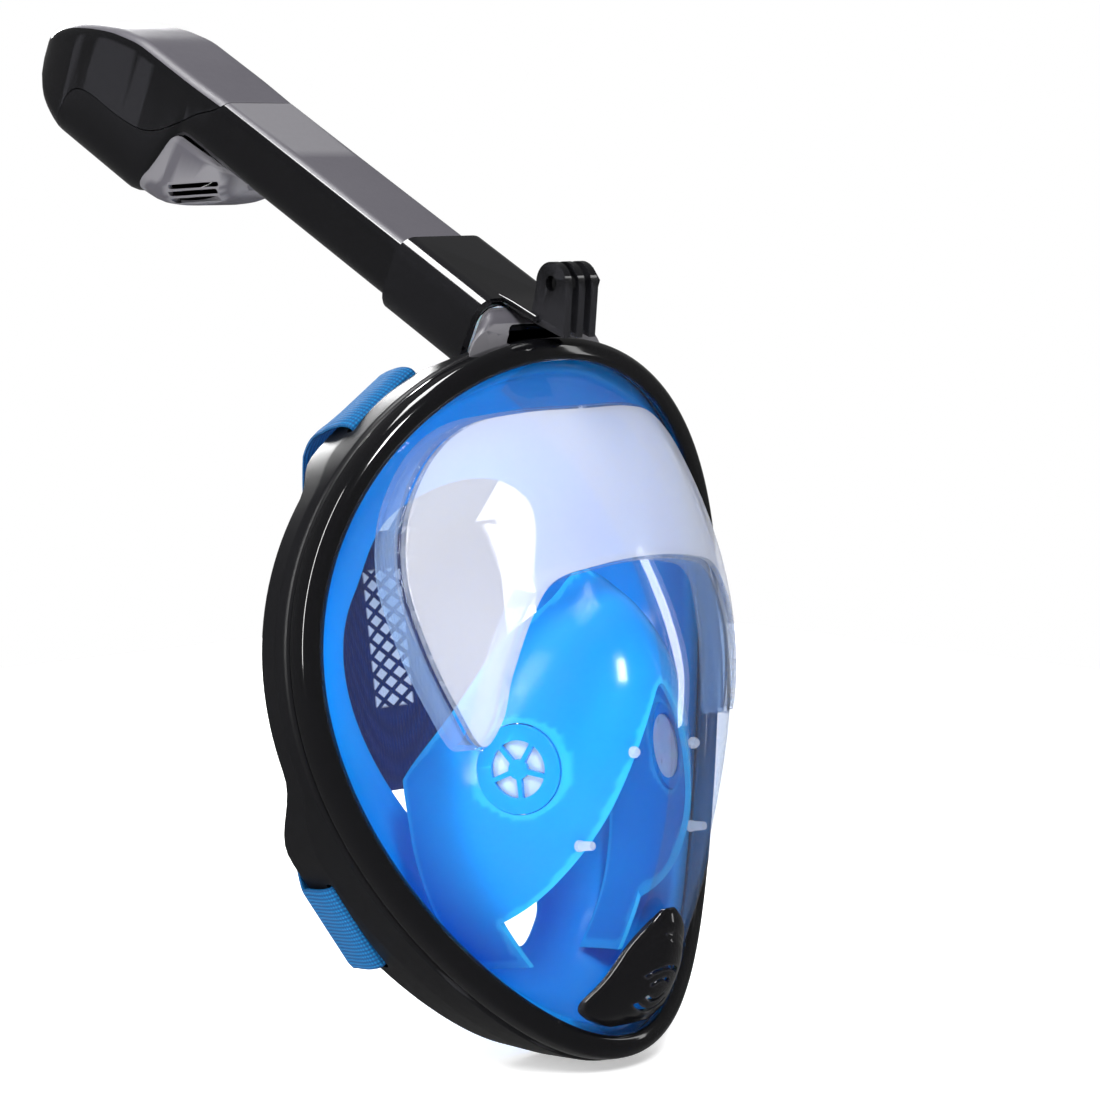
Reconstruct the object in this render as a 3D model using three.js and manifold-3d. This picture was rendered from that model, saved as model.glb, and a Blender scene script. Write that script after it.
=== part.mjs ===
// Full face snorkel: a clear wrap-round lens in a black two-part frame, a blue silicone face
// skirt with a breathing pocket, a dry-top tube that pulls out of the frame's neck, a purge
// valve at the chin, a clip-on camera mount and an elastic head harness.
// Millimetres. +Z is up as worn, the lens faces -Y and the wearer's left is +X.
import * as THREE from 'three';
import { ParametricGeometry } from 'three/addons/geometries/ParametricGeometry.js';
import { mergeVertices } from 'three/addons/utils/BufferGeometryUtils.js';
import Module from 'manifold-3d';

const wasm = await Module();
wasm.setup();

const { sin, cos, sqrt, abs, min, max, PI } = Math;
const DEG = PI / 180;

// ---- Driving dimensions ------------------------------------------------------------------
const LENS = { halfWidth: 90, halfHeight: 118, wrap: 34, bulge: 44, wall: 2.6 };
const EGG = { linear: 0.235, square: -0.03 };    // the outline is wider at the brow
const LEAN = 8.5 * DEG;                          // the lens leans back from upright
const FACE_DEPTH = 60;                           // from lens edge back to the face contact
const RIM_STEPS = 40;
const CLEARANCE = 0.3;                           // between pieces that touch

const FRAME = { outer: 9.6, wall: 2.8, front: 5.8, sideDepth: 22, lugDepth: 34, chinDepth: 45 };
const LUGS = [
  { name: 'upper', angle: 28 * DEG, slotDepth: 23.5 },
  { name: 'lower', angle: 125 * DEG, slotDepth: 33.5 },
];
const STRAP = { width: 36, thickness: 1.6, slotLength: 39, slotWidth: 4.6 };

const TUBE = { halfWidth: 18, halfThickness: 12, corner: 8, wall: 2.2, tilt: 55 * DEG };
const TUBE_FOOT = { y: 17.4, z: 127 };           // where the tube axis meets the frame's top
const NECK_TOP = 3.8;
const GASKET = 1.6;
const SPIGOT = { length: 11, halfWidth: 15.4, halfThickness: 9.4, corner: 6 };
const HEAD = { start: 150, end: 285, wall: 2.4 };
const FLOAT = { foot: 208, top: 234, height: -31.5, seal: 2, travel: 10.4 };

const CLIP = { start: 4.5, end: 51, wall: 3.4, lip: -13, clevisRadius: 7.5, prong: 3, pitch: 6.1 };
const CLEVIS = { y: -10.6, z: 144.5, bore: 2.7, base: 129.5 };

const POCKET = { bottom: -92, back: 45, wall: 2.2, power: 1.4 };
const ARCH = { apex: 8, slope: 0.42 };           // the pocket's open front, an upright wedge
const VALVE = { x: 38, z: -21, seatRadius: 15.5, windowRadius: 10, hub: 2.6, spoke: 1.6, spokes: 5 };
const PURGE = { z: -98, seatRadius: 10.6, membraneRadius: 9, coverBottom: -114.5 };
const PAD = { y: 106, halfWidth: 44, bottom: -30, top: 66, thickness: 2.4, curve: 18 };

// ---- Materials ---------------------------------------------------------------------------
const finish = (color, roughness, extra = {}) =>
  new THREE.MeshStandardMaterial({ color, roughness, metalness: 0, ...extra });
const PAINT = {
  glossBlack: () => finish(0x08080a, 0.12),
  satinBlack: () => finish(0x17171a, 0.4),
  satinGrey: () => finish(0x4c4a52, 0.42),
  lens: () => finish(0xe4ecff, 0.05, { transparent: true, opacity: 0.3 }),
  silicone: () => finish(0x1486f2, 0.35),
  clear: () => finish(0xe8f2ff, 0.15),
  membrane: () => finish(0xd8dde4, 0.3),
  webbing: () => finish(0x0a8ee8, 0.85),
  float: () => finish(0xe9e4d8, 0.7),
};

// ---- Mesh helpers ------------------------------------------------------------------------
function signedVolume(position, index) {
  const a = new THREE.Vector3();
  const b = new THREE.Vector3();
  const c = new THREE.Vector3();
  let sum = 0;
  for (let i = 0; i < index.length; i += 3) {
    a.fromBufferAttribute(position, index[i]);
    b.fromBufferAttribute(position, index[i + 1]);
    c.fromBufferAttribute(position, index[i + 2]);
    sum += a.dot(b.cross(c)) / 6;
  }
  return sum;
}

// Shared corners are merged, needle triangles dropped and the faces turned outwards.
function closed(geometry) {
  let bare = geometry.clone();
  bare.deleteAttribute('normal');
  bare.deleteAttribute('uv');
  bare = mergeVertices(bare, 1e-4);
  const source = bare.index.array;
  const index = [];
  for (let i = 0; i < source.length; i += 3) {
    const [a, b, c] = [source[i], source[i + 1], source[i + 2]];
    if (a !== b && b !== c && c !== a) index.push(a, b, c);
  }
  if (signedVolume(bare.attributes.position, index) < 0) index.reverse();
  bare.setIndex(index);
  return bare;
}

function toManifold(geometry) {
  const bare = closed(geometry);
  const vertProperties = new Float32Array(bare.attributes.position.array);
  const triVerts = new Uint32Array(bare.index.array);
  return new wasm.Manifold(new wasm.Mesh({ numProp: 3, vertProperties, triVerts }));
}

function fromManifold(solid) {
  const mesh = solid.getMesh();
  const geometry = new THREE.BufferGeometry();
  geometry.setAttribute('position', new THREE.BufferAttribute(new Float32Array(mesh.vertProperties), 3));
  geometry.setIndex(Array.from(mesh.triVerts));
  return geometry;
}

const cut = (base, ...tools) =>
  fromManifold(tools.reduce((solid, tool) => solid.subtract(toManifold(tool)), toManifold(base)));
const join = (base, ...others) =>
  fromManifold(others.reduce((solid, other) => solid.add(toManifold(other)), toManifold(base)));
const common = (a, b) => fromManifold(toManifold(a).intersect(toManifold(b)));

function smooth(value, low, high) {
  const t = min(1, max(0, (value - low) / (high - low)));
  return t * t * (3 - 2 * t);
}

// A closed skin from rows of points, one row per step; place(row, column, target) sets a point.
// A capped skin ends in flat faces: the first and last rows close on the line midway between
// each column and its mirror column, so columns run up one face and back down the other.
function skin(rows, columns, place, capped) {
  const first = capped ? -1 : 0;
  const count = capped ? rows + 1 : rows;
  const midway = (row, column, target) => {
    const mirror = new THREE.Vector3();
    place(row, columns - 1 - column, mirror);
    place(row, column, target);
    target.add(mirror).multiplyScalar(0.5);
  };
  const point = (u, v, target) => {
    const row = Math.round(v * count) + first;
    const column = Math.round(u * columns) % columns;
    if (row < 0) midway(0, column, target);
    else if (capped && row >= rows) midway(rows - 1, column, target);
    else place(row % rows, column, target);
  };
  return closed(new ParametricGeometry(point, columns, count));
}

// Piecewise-linear reading of [position, value] stations.
function station(table, at) {
  if (at <= table[0][0]) return table[0][1];
  for (let i = 1; i < table.length; i += 1) {
    const [p0, v0] = table[i - 1];
    const [p1, v1] = table[i];
    if (at <= p1) return v0 + ((v1 - v0) * (at - p0)) / (p1 - p0);
  }
  return table[table.length - 1][1];
}

function prism(points, depth, from) {
  const shape = new THREE.Shape(points.map(([x, y]) => new THREE.Vector2(x, y)));
  const geometry = new THREE.ExtrudeGeometry(shape, { depth, bevelEnabled: false });
  return geometry.translate(0, 0, from);
}

// ---- Lens outline and surface -------------------------------------------------------------
// The angle runs from the crown (0) over the wearer's left side (90) to the chin (180).
function outlineX(angle) {
  const c = cos(angle);
  return LENS.halfWidth * sin(angle) * (1 + EGG.linear * c + EGG.square * c * c);
}

// A point off the outline: outward in the outline's own plane and back along +Y.
function rimPoint(angle, outward, depth, target) {
  const step = 1e-4;
  const dx = (outlineX(angle + step) - outlineX(angle - step)) / (2 * step);
  const dz = -LENS.halfHeight * sin(angle);
  const length = sqrt(dx * dx + dz * dz);
  const x = outlineX(angle) - (dz / length) * outward;
  const z = LENS.halfHeight * cos(angle) + (dx / length) * outward;
  return target.set(x, LENS.wrap * sin(angle) ** 2 + depth, z);
}

function lensPoint(angle, radius, depth, target) {
  const edge = LENS.wrap * sin(angle) ** 2 * radius ** 2.6;
  const y = edge - LENS.bulge * (1 - radius ** 2.1) + depth;
  return target.set(radius * outlineX(angle), y, radius * LENS.halfHeight * cos(angle));
}

// Depth of the lens's outer face above a point (x, z) of its outline plane.
function lensDepth(x, z) {
  let low = 1e-4;
  let high = PI - 1e-4;
  for (let i = 0; i < 40; i += 1) {
    const angle = (low + high) / 2;
    const ahead = abs(x) * LENS.halfHeight * cos(angle) > z * outlineX(angle);
    if (ahead) low = angle;
    else high = angle;
  }
  const radius = sqrt(x * x + z * z) / sqrt(outlineX(low) ** 2 + (LENS.halfHeight * cos(low)) ** 2);
  return lensPoint(low, radius, 0, new THREE.Vector3()).y;
}

// A ring that follows the outline; profile(angle) lists its section's [outward, depth] corners.
function ring(profile) {
  const corners = profile(0).length;
  const place = (row, column, target) => {
    const angle = (row / RIM_STEPS) * 2 * PI;
    const [outward, depth] = profile(angle)[column];
    rimPoint(angle, outward, depth, target);
  };
  return skin(RIM_STEPS, corners, place, false);
}

// Angle from the crown, the same on both sides.
const fromCrown = (angle) => (angle > PI ? 2 * PI - angle : angle);

// ---- Lens and frame -----------------------------------------------------------------------
function lensGeometry() {
  const front = [0, 0.2, 0.4, 0.6, 0.78, 0.91, 1];
  const back = [0.975, 0.89, 0.765, 0.59, 0.395, 0.2, 0];
  const rows = front.length + back.length + 2;
  const place = (u, v, target) => {
    const angle = u * 2 * PI;
    const row = Math.round(v * (rows - 1));
    if (row < front.length) lensPoint(angle, front[row], 0, target);
    else if (row === front.length) rimPoint(angle, 2.6, 0.4, target);
    else if (row === front.length + 1) rimPoint(angle, 2.6, 3, target);
    else lensPoint(angle, back[row - front.length - 2], LENS.wall, target);
  };
  const shell = closed(new ParametricGeometry(place, RIM_STEPS, rows - 1));
  const port = new THREE.CylinderGeometry(PURGE.seatRadius + CLEARANCE, PURGE.seatRadius + CLEARANCE, 30, 32);
  return cut(shell, purgePlace(port, 0));
}

function frontRimGeometry() {
  const section = [[0.2, -0.6], [0.3, -2.8], [2.2, -4], [6, -3.8], [8.4, -1.6], [9, 2], [9, 5.5], [3, 5.5], [3, 0]];
  return ring(() => section);
}

function frameDepth(angle) {
  const t = fromCrown(angle) / DEG;
  const lug = smooth(t, 11, 20) * (1 - smooth(t, 41, 51));
  const chin = smooth(t, 96, 112);
  const extra = (FRAME.lugDepth - FRAME.sideDepth) * lug;
  return FRAME.sideDepth + extra + (FRAME.chinDepth - FRAME.sideDepth) * chin;
}

// The frame's outer face draws in a little as it goes back.
const frameOutward = (depth) => FRAME.outer + 0.8 - 0.11 * depth;

function frameSection(angle) {
  const depth = frameDepth(angle);
  const middle = depth * 0.55;
  const { outer, wall, front } = FRAME;
  return [
    [-0.5, front], [outer - 0.9, front], [outer, front + 1.6],
    [frameOutward(middle) + 0.6, middle], [frameOutward(depth), depth],
    [frameOutward(depth) - wall, depth], [frameOutward(middle) - wall, middle],
    [outer - wall - 0.4, 9], [-0.5, 9],
  ];
}

// Unit directions of the frame's wall at an angle: along the outline and outward.
function wallAxes(angle) {
  const here = rimPoint(angle, 0, 0, new THREE.Vector3());
  const outward = rimPoint(angle, 1, 0, new THREE.Vector3()).sub(here);
  const back = new THREE.Vector3(0, 1, 0);
  const along = new THREE.Vector3().crossVectors(back, outward).normalize();
  return { along, outward, back };
}

function slotCutter(lug, side) {
  const angle = side > 0 ? lug.angle : 2 * PI - lug.angle;
  const { along, outward, back } = wallAxes(angle);
  const centre = rimPoint(angle, frameOutward(lug.slotDepth), lug.slotDepth, new THREE.Vector3());
  const box = new THREE.BoxGeometry(STRAP.slotLength, 18, STRAP.slotWidth);
  const place = new THREE.Matrix4().makeBasis(along, outward, back).setPosition(centre);
  return box.applyMatrix4(place);
}

// The air way through the frame's crown and its socket.
const crownBore = () =>
  tubeToMask(oblongBar(TUBE.halfWidth - TUBE.wall, TUBE.halfThickness - TUBE.wall, 6, -34, 30));

function rearFrameGeometry() {
  const slots = LUGS.flatMap((lug) => [slotCutter(lug, 1), slotCutter(lug, -1)]);
  return cut(ring(frameSection), ...slots, crownBore());
}

// The socket that holds the tube: a saddle over the frame's crown that hooks behind it.
function tubeSocketGeometry() {
  const gap = 0.1;
  const front = ring(() => [[-20, -30], [30, -30], [30, FRAME.front], [-20, FRAME.front]]);
  const crown = ring((angle) => {
    const corners = frameSection(angle).slice(1, 5).map(([outward, depth]) => [outward + gap, depth]);
    const rear = frameDepth(angle) + gap;
    corners[3][1] = rear;
    return [[-20, FRAME.front - 1], [corners[0][0], FRAME.front - 1], ...corners, [-20, rear]];
  });
  return cut(tubeToMask(neckGeometry()), front, crown, crownBore());
}

// ---- Tube, dry top and camera clip ---------------------------------------------------------
// In the tube's own frame +Z runs up the tube and -Y is its upper, forward-facing side.
function tubeToMask(geometry) {
  return geometry.clone().rotateX(-TUBE.tilt).translate(0, TUBE_FOOT.y, TUBE_FOOT.z);
}

// A rounded box section, counter-clockwise, from half width, top, bottom and corner radius.
function oblong(halfWidth, top, bottom, corner) {
  const points = [];
  const quarter = 3;
  const centres = [[1, 1], [-1, 1], [-1, -1], [1, -1]];
  const middle = (top + bottom) / 2;
  const half = (top - bottom) / 2;
  const r = min(corner, half - 0.2, halfWidth - 0.2);
  centres.forEach(([sx, sy], index) => {
    for (let i = 0; i <= quarter; i += 1) {
      const a = (index + i / quarter) * (PI / 2);
      points.push([sx * (halfWidth - r) + r * cos(a), middle + sy * (half - r) + r * sin(a)]);
    }
  });
  return points;
}

// A solid through rounded sections: stations of { z, halfWidth, top, bottom, corner }.
function sectionLoft(stations) {
  const loops = stations.map((s) => oblong(s.halfWidth, s.top, s.bottom, s.corner));
  const place = (row, column, target) => {
    const [x, top] = loops[row][column];
    target.set(x, -top, stations[row].z);
  };
  return skin(stations.length, loops[0].length, place, true);
}

function oblongBar(halfWidth, halfThickness, corner, from, to) {
  const section = { halfWidth, top: halfThickness, bottom: -halfThickness, corner };
  return sectionLoft([{ ...section, z: from }, { ...section, z: to }]);
}

// The socket's outside: wide on the frame's crown, then narrowing to the tube's own section.
function neckGeometry() {
  const { halfWidth, halfThickness, corner } = TUBE;
  return sectionLoft([
    { z: -12, halfWidth: 33, top: 5, bottom: -6, corner: 5 },
    { z: -6, halfWidth: 29, top: 9, bottom: -9, corner: 7 },
    { z: 0, halfWidth: 22, top: halfThickness - 0.5, bottom: -halfThickness, corner },
    { z: 3, halfWidth, top: halfThickness, bottom: -halfThickness, corner },
    { z: NECK_TOP, halfWidth, top: halfThickness, bottom: -halfThickness, corner },
  ]);
}

function gasketGeometry() {
  const outer = oblongBar(TUBE.halfWidth - 0.4, TUBE.halfThickness - 0.4, TUBE.corner, 0, GASKET);
  const hole = oblongBar(SPIGOT.halfWidth + CLEARANCE, SPIGOT.halfThickness + CLEARANCE, 6.3, -1, GASKET + 1);
  return cut(outer, hole).translate(0, 0, NECK_TOP + CLEARANCE);
}

const HEAD_TOP = [[150, 12], [222, 12], [238, 9], [250, 5], [262, 0], [274, -7], [282, -13], [285, -18]];
const HEAD_WIDTH = [[150, 18], [185, 20], [262, 20], [274, 18.5], [281, 15], [285, 9]];
const HEAD_BOTTOM = [[150, -12], [186, -12], [191, -26], [196, -38], [203, -44], [206, -45], [258, -45],
  [270, -41], [278, -34], [283, -27], [285, -22]];

function headBody(inset) {
  const places = [150, 170, 186, 191, 196, 203, 215, 238, 250, 262, 270, 278, 282, 285];
  const kept = inset > 0 ? places.filter((z) => z >= 170 && z <= HEAD.end - inset) : places;
  const either = (table, z) => [station(table, z - inset), station(table, z + inset)];
  const [lower, upper] = inset > 0 ? [min, max] : [max, min];
  return sectionLoft(kept.map((z) => ({
    z,
    halfWidth: lower(...either(HEAD_WIDTH, z)) - inset,
    top: lower(...either(HEAD_TOP, z)) - inset,
    bottom: upper(...either(HEAD_BOTTOM, z)) + inset,
    corner: 9 - inset,
  })));
}

// Everything on the tube's side of the cap's parting line, as a bar across the head.
// The line is [distance up the tube, height above the tube's axis].
function belowSeam(gap) {
  const seam = [[166, 16], [167, 10], [177, 2], [187, -7], [196, -14], [205, -18], [219, -20], [244, -20.5],
    [251, -23.5], [255, -30], [256, -52]];
  const area = [...seam.map(([z, n]) => [z - gap, n - gap]), [0, -52], [0, 16 - gap]];
  const bar = prism(area.map(([z, n]) => [n, z]), 60, -30);
  return bar.applyMatrix4(new THREE.Matrix4().makeBasis(
    new THREE.Vector3(0, -1, 0), new THREE.Vector3(0, 0, 1), new THREE.Vector3(-1, 0, 0)));
}

function tubeGeometry() {
  const { halfWidth, halfThickness, corner, wall } = TUBE;
  const start = NECK_TOP + GASKET + 2 * CLEARANCE;
  const barrel = oblongBar(halfWidth, halfThickness, corner, start, HEAD.start + 25);
  const spigot = oblongBar(SPIGOT.halfWidth, SPIGOT.halfThickness, SPIGOT.corner, start - SPIGOT.length, start + 3);
  const body = common(join(barrel, headBody(0)), belowSeam(CLEARANCE));
  const bore = oblongBar(halfWidth - wall, halfThickness - wall, corner - wall, start + 4, 180);
  const spigotBore = oblongBar(SPIGOT.halfWidth - 1.8, SPIGOT.halfThickness - 1.8, 4, -20, start + 6);
  const window = oblongBar(11, 9, 4, 180, 206).translate(0, 28, 0);
  return cut(join(body, spigot), bore, spigotBore, headBody(HEAD.wall), window);
}

const capGeometry = () => cut(headBody(0), headBody(HEAD.wall), belowSeam(0));

// The wall down the middle of the tube that keeps breathed-in and breathed-out air apart.
function dividerGeometry() {
  const length = 140;
  return new THREE.BoxGeometry(1.6, 2 * (TUBE.halfThickness - TUBE.wall - CLEARANCE), length)
    .translate(0, 0, 22 + length / 2);
}

// The grey piece that fills the corner between the tube's underside and the head. Three vents
// run along each of its sides.
function grilleGeometry() {
  const drops = [[150, 3], [154, 9], [162, 16], [172, 22], [182, 27], [190, 30], [201, 31]];
  const widths = [[150, 8], [158, 14], [170, 17.5], [190, 19], [201, 19.2]];
  const shell = (inset) => sectionLoft(drops.filter(([z]) => inset === 0 || z > 154).map(([z, drop]) => ({
    z: inset > 0 && z > 195 ? z + 4 : z,
    halfWidth: station(widths, z) - inset,
    top: inset > 0 ? -6 : -11,
    bottom: -12.4 - drop + inset,
    corner: 10 - inset,
  })));
  const vent = { z: 171, length: 26, height: 1.8, slope: 29.7 * DEG };
  const floor = 12.4 + station(drops, vent.z);
  const slots = [2.6, 5.6, 8.6].flatMap((above) => [20, -20].map((x) =>
    new THREE.BoxGeometry(20, vent.height, vent.length).rotateX(-vent.slope).translate(x, floor - above, vent.z)));
  const clear = oblongBar(TUBE.halfWidth + CLEARANCE, TUBE.halfThickness + CLEARANCE, TUBE.corner, 100, 240);
  return cut(shell(0), shell(2), ...slots, clear, headBody(-CLEARANCE));
}

function floatGeometry() {
  const { foot, top, height } = FLOAT;
  const section = (z, inset) =>
    ({ z, halfWidth: 14 - inset, top: height + 8.5 - inset, bottom: height - 8.5 + inset, corner: 5 });
  return sectionLoft([section(foot, 2), section(foot + 3, 0), section(top - 2, 0), section(top, 2)]);
}

function floatSealGeometry() {
  const from = FLOAT.top + CLEARANCE;
  return oblongBar(13, 7, 5, from, from + FLOAT.seal).translate(0, -FLOAT.height, 0);
}

// The plate across the top of the float's chamber, whose port the float's seal closes.
function valvePlateGeometry() {
  const from = FLOAT.top + FLOAT.seal + FLOAT.travel + 2 * CLEARANCE;
  const plate = oblongBar(17, 9, 6, from, from + 2.4);
  const port = oblongBar(10, 4.6, 4, from - 5, from + 8);
  return cut(plate, port).translate(0, -FLOAT.height + 0.9, 0);
}

// A C-shaped saddle round the neck and tube, an arm forward and a three-prong clevis.
function cameraClipGeometry() {
  const inner = CLEARANCE + 0.1;
  const { start, end, wall, lip } = CLIP;
  const { halfWidth, halfThickness, corner } = TUBE;
  const saddle = cut(
    oblongBar(halfWidth + wall, halfThickness + wall, corner + wall, start, end),
    oblongBar(halfWidth + inner, halfThickness + inner, corner, start - 40, end + 40),
    new THREE.BoxGeometry(60, 40, 200).translate(0, 20 - lip - 5.5, 0),
    archCutter());
  const plate = { halfWidth: 9.6, corner: 1.5 };
  const arm = sectionLoft([
    { ...plate, z: start - 17, top: 17.6, bottom: 14.6 },
    { ...plate, z: start + 6, top: halfThickness + wall - 0.1, bottom: halfThickness + 0.8 },
  ]);
  const body = tubeToMask(join(saddle, arm));
  return cut(join(body, ...clevisProngs(), nutBoss()), clevisBore(), hexPocket());
}

// The arched mouth in the saddle's lower front edge, which clears the frame's crown.
function archCutter() {
  const sweep = new THREE.CylinderGeometry(15, 15, 30, 28).scale(1, 1, 0.8);
  return sweep.translate(0, 0, CLIP.start - 4).translate(0, 3, 0);
}

// Prong x places: three plates with the standard gap between them.
function clevisProngs() {
  return [-1, 0, 1].map((index) => {
    const shape = new THREE.Shape();
    shape.moveTo(CLEVIS.y - 3.4, CLEVIS.base - 4.5);
    shape.lineTo(CLEVIS.y + 12.5, CLEVIS.base + 3.6);
    shape.lineTo(CLEVIS.y + CLIP.clevisRadius, CLEVIS.z);
    shape.absarc(CLEVIS.y, CLEVIS.z, CLIP.clevisRadius, 0, PI, false);
    shape.lineTo(CLEVIS.y - CLIP.clevisRadius, CLEVIS.z - 3);
    const plate = new THREE.ExtrudeGeometry(shape, { depth: CLIP.prong, bevelEnabled: false, curveSegments: 14 });
    return acrossX(plate, index * CLIP.pitch - CLIP.prong / 2);
  });
}

// Turns an outline drawn in (y, z) and extruded along z into one extruded along +X.
function acrossX(geometry, from) {
  const axes = new THREE.Matrix4().makeBasis(
    new THREE.Vector3(0, 1, 0), new THREE.Vector3(0, 0, 1), new THREE.Vector3(1, 0, 0));
  return geometry.applyMatrix4(axes).translate(from, 0, 0);
}

const nutBoss = () => crossBar(5.6, 6, CLIP.pitch + 3, 3.4);
const hexPocket = () => crossBar(4.1, 6, CLIP.pitch + 3.6, 5);
const clevisBore = () => crossBar(CLEVIS.bore, 16, 0, 40);

function crossBar(radius, sides, x, length) {
  const bar = new THREE.CylinderGeometry(radius, radius, length, sides).rotateZ(PI / 2);
  return bar.translate(x, CLEVIS.y, CLEVIS.z);
}

// ---- Silicone: skirt, eye seal and breathing pocket ----------------------------------------
// The face lip reaches furthest in at the cheeks and temples, and least at the chin.
function lipReach(angle) {
  const t = fromCrown(angle) / DEG;
  return 30 + (7 + 8 * smooth(t, 30, 60)) * (1 - smooth(t, 124, 150));
}

function skirtSection(angle) {
  const lip = -lipReach(angle);
  const bend = lip * 0.42 + 0.6;
  const shallow = 1 - 0.18 * sin(angle) ** 2;
  const section = [[2.8, 3.5], [2.8, 5.3], [-1.4, 5.5], [-2.6, 18], [-6, 32], [bend, 44], [lip * 0.7, 50], [lip, 50],
    [lip, 48.2], [lip * 0.7 - 0.6, 47.8], [bend - 1.8, 42.4], [-8.2, 31], [-4.8, 18], [-3.4, 3.5]];
  return section.map(([outward, depth]) => [outward, depth > 6 ? 6 + (depth - 6) * shallow : depth]);
}

const skirtGeometry = () => ring(skirtSection);

// Half of the window's outline (x, z) from the middle of its top edge round to the nose.
const WINDOW_HALF = [[0, 100.5], [26, 100.5], [43, 98], [56.5, 89], [69, 70], [74, 48], [72, 24], [66, 2],
  [60, -11], [56.5, -3], [54, 12], [47, 31], [38.5, 42], [22, 46], [0, 47.5]];

function windowCurve() {
  const left = WINDOW_HALF.map(([x, z]) => new THREE.Vector3(x, 0, z));
  const right = WINDOW_HALF.slice(1, -1).reverse().map(([x, z]) => new THREE.Vector3(-x, 0, z));
  return new THREE.CatmullRomCurve3([...left, ...right], true, 'centripetal');
}

function eyeSealGeometry() {
  const curve = windowCurve();
  const steps = 48;
  const section = [[-0.9, 0], [0.9, 0], [1.2, 10], [-1.2, 10]];
  const place = (row, column, target) => {
    const here = curve.getPointAt(row / steps);
    const tangent = curve.getTangentAt(row / steps);
    const [outward, depth] = section[column];
    const x = here.x - tangent.z * outward;
    const z = here.z + tangent.x * outward;
    const front = lensDepth(here.x, here.z) + LENS.wall + 2.6;
    target.set(x, front + depth, z);
  };
  return skin(steps, section.length, place, false);
}

const POCKET_WIDTH = [[-92, 27], [-84, 34], [-70, 43], [-50, 49], [-20, 51], [5, 45], [25, 36], [38, 24], [45, 11]];
const POCKET_FRONT = [[-92, -12], [-84, -16], [-70, -24], [-40, -34.5], [-10, -38], [10, -36], [26, -28], [38, -17],
  [45, -6]];

// A point of the pocket's outer wall: turn runs from -90 (wearer's right) over the nose to 90.
function pocketPoint(turn, z, inset, target) {
  const width = station(POCKET_WIDTH, z) - inset;
  const front = station(POCKET_FRONT, z) + inset;
  const reach = POCKET.back - front;
  return target.set(width * sin(turn), POCKET.back - reach * max(0, cos(turn)) ** POCKET.power, z);
}

function pocketGeometry() {
  const levels = [-92, -84, -70, -50, -20, 0, 12, 25, 32, 38, 45];
  const across = 14;
  const place = (row, column, target) => {
    const outer = column <= across;
    const step = outer ? column : 2 * across + 1 - column;
    const turn = ((step / across) * 2 - 1) * (PI / 2);
    const inset = outer ? 0 : POCKET.wall;
    pocketPoint(turn, levels[row], inset, target);
    if (!outer && row === levels.length - 1) target.z -= POCKET.wall;
    if (abs(turn) > PI / 2 - 0.01) target.y = POCKET.back;
  };
  const shell = skin(levels.length, 2 * across + 2, place, true);
  const drop = ARCH.apex - POCKET.bottom + 8;
  const foot = drop * ARCH.slope;
  const mouth = acrossDepth([[0, ARCH.apex], [foot, ARCH.apex - drop], [-foot, ARCH.apex - drop]], -70, 20);
  const holes = [1, -1].map((side) => valvePlace(side, disc(VALVE.seatRadius + CLEARANCE, 14, 28), 0));
  return cut(shell, mouth, behindNose(), ...holes);
}

// What is trimmed off the pocket above the cheeks, where its rear edge slopes up to the nose.
function behindNose() {
  const edge = [[60, -38], [45, -22], [22, 3], [9, 24], [-2, 36], [-2, 60], [60, 60]];
  return acrossX(prism(edge, 140, 0), -70);
}

// An outline drawn in (x, z), extruded along the depth from one y to another.
function acrossDepth(points, from, to) {
  const bar = prism(points, to - from, 0);
  const axes = new THREE.Matrix4().makeBasis(
    new THREE.Vector3(1, 0, 0), new THREE.Vector3(0, 0, 1), new THREE.Vector3(0, -1, 0));
  return bar.applyMatrix4(axes).translate(0, to, 0);
}

const disc = (radius, height, sides) => new THREE.CylinderGeometry(radius, radius, height, sides);

// Puts a piece made on the Y axis at a pocket valve, its +Y facing out of the pocket.
function valvePlace(side, geometry, out) {
  const turn = Math.asin(VALVE.x / station(POCKET_WIDTH, VALVE.z)) * side;
  const here = pocketPoint(turn, VALVE.z, POCKET.wall / 2, new THREE.Vector3());
  const near = pocketPoint(turn - 0.1, VALVE.z, 0, new THREE.Vector3());
  const ahead = pocketPoint(turn + 0.1, VALVE.z, 0, new THREE.Vector3()).sub(near);
  const normal = new THREE.Vector3(ahead.y, -ahead.x, 0).normalize();
  const turned = new THREE.Quaternion().setFromUnitVectors(new THREE.Vector3(0, 1, 0), normal);
  return geometry.applyQuaternion(turned).translate(...here.addScaledVector(normal, out));
}

// A ring with a hub and spokes: the seat of a one-way valve.
function spokedSeat(radius, windowRadius, hub, spoke, spokes, thickness) {
  const windows = [];
  for (let i = 0; i < spokes; i += 1) {
    const middle = (i / spokes) * 2 * PI + PI / 2;
    const outer = PI / spokes - spoke / windowRadius / 2;
    const inner = PI / spokes - spoke / hub / 2.4;
    const shape = new THREE.Shape();
    shape.absarc(0, 0, windowRadius, middle - outer, middle + outer, false);
    shape.absarc(0, 0, hub + 0.9, middle + inner, middle - inner, true);
    const window = new THREE.ExtrudeGeometry(shape, { depth: 3 * thickness, bevelEnabled: false, curveSegments: 3 });
    windows.push(window.translate(0, 0, -1.5 * thickness).rotateX(PI / 2));
  }
  return cut(disc(radius, thickness, 24), ...windows);
}

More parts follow.
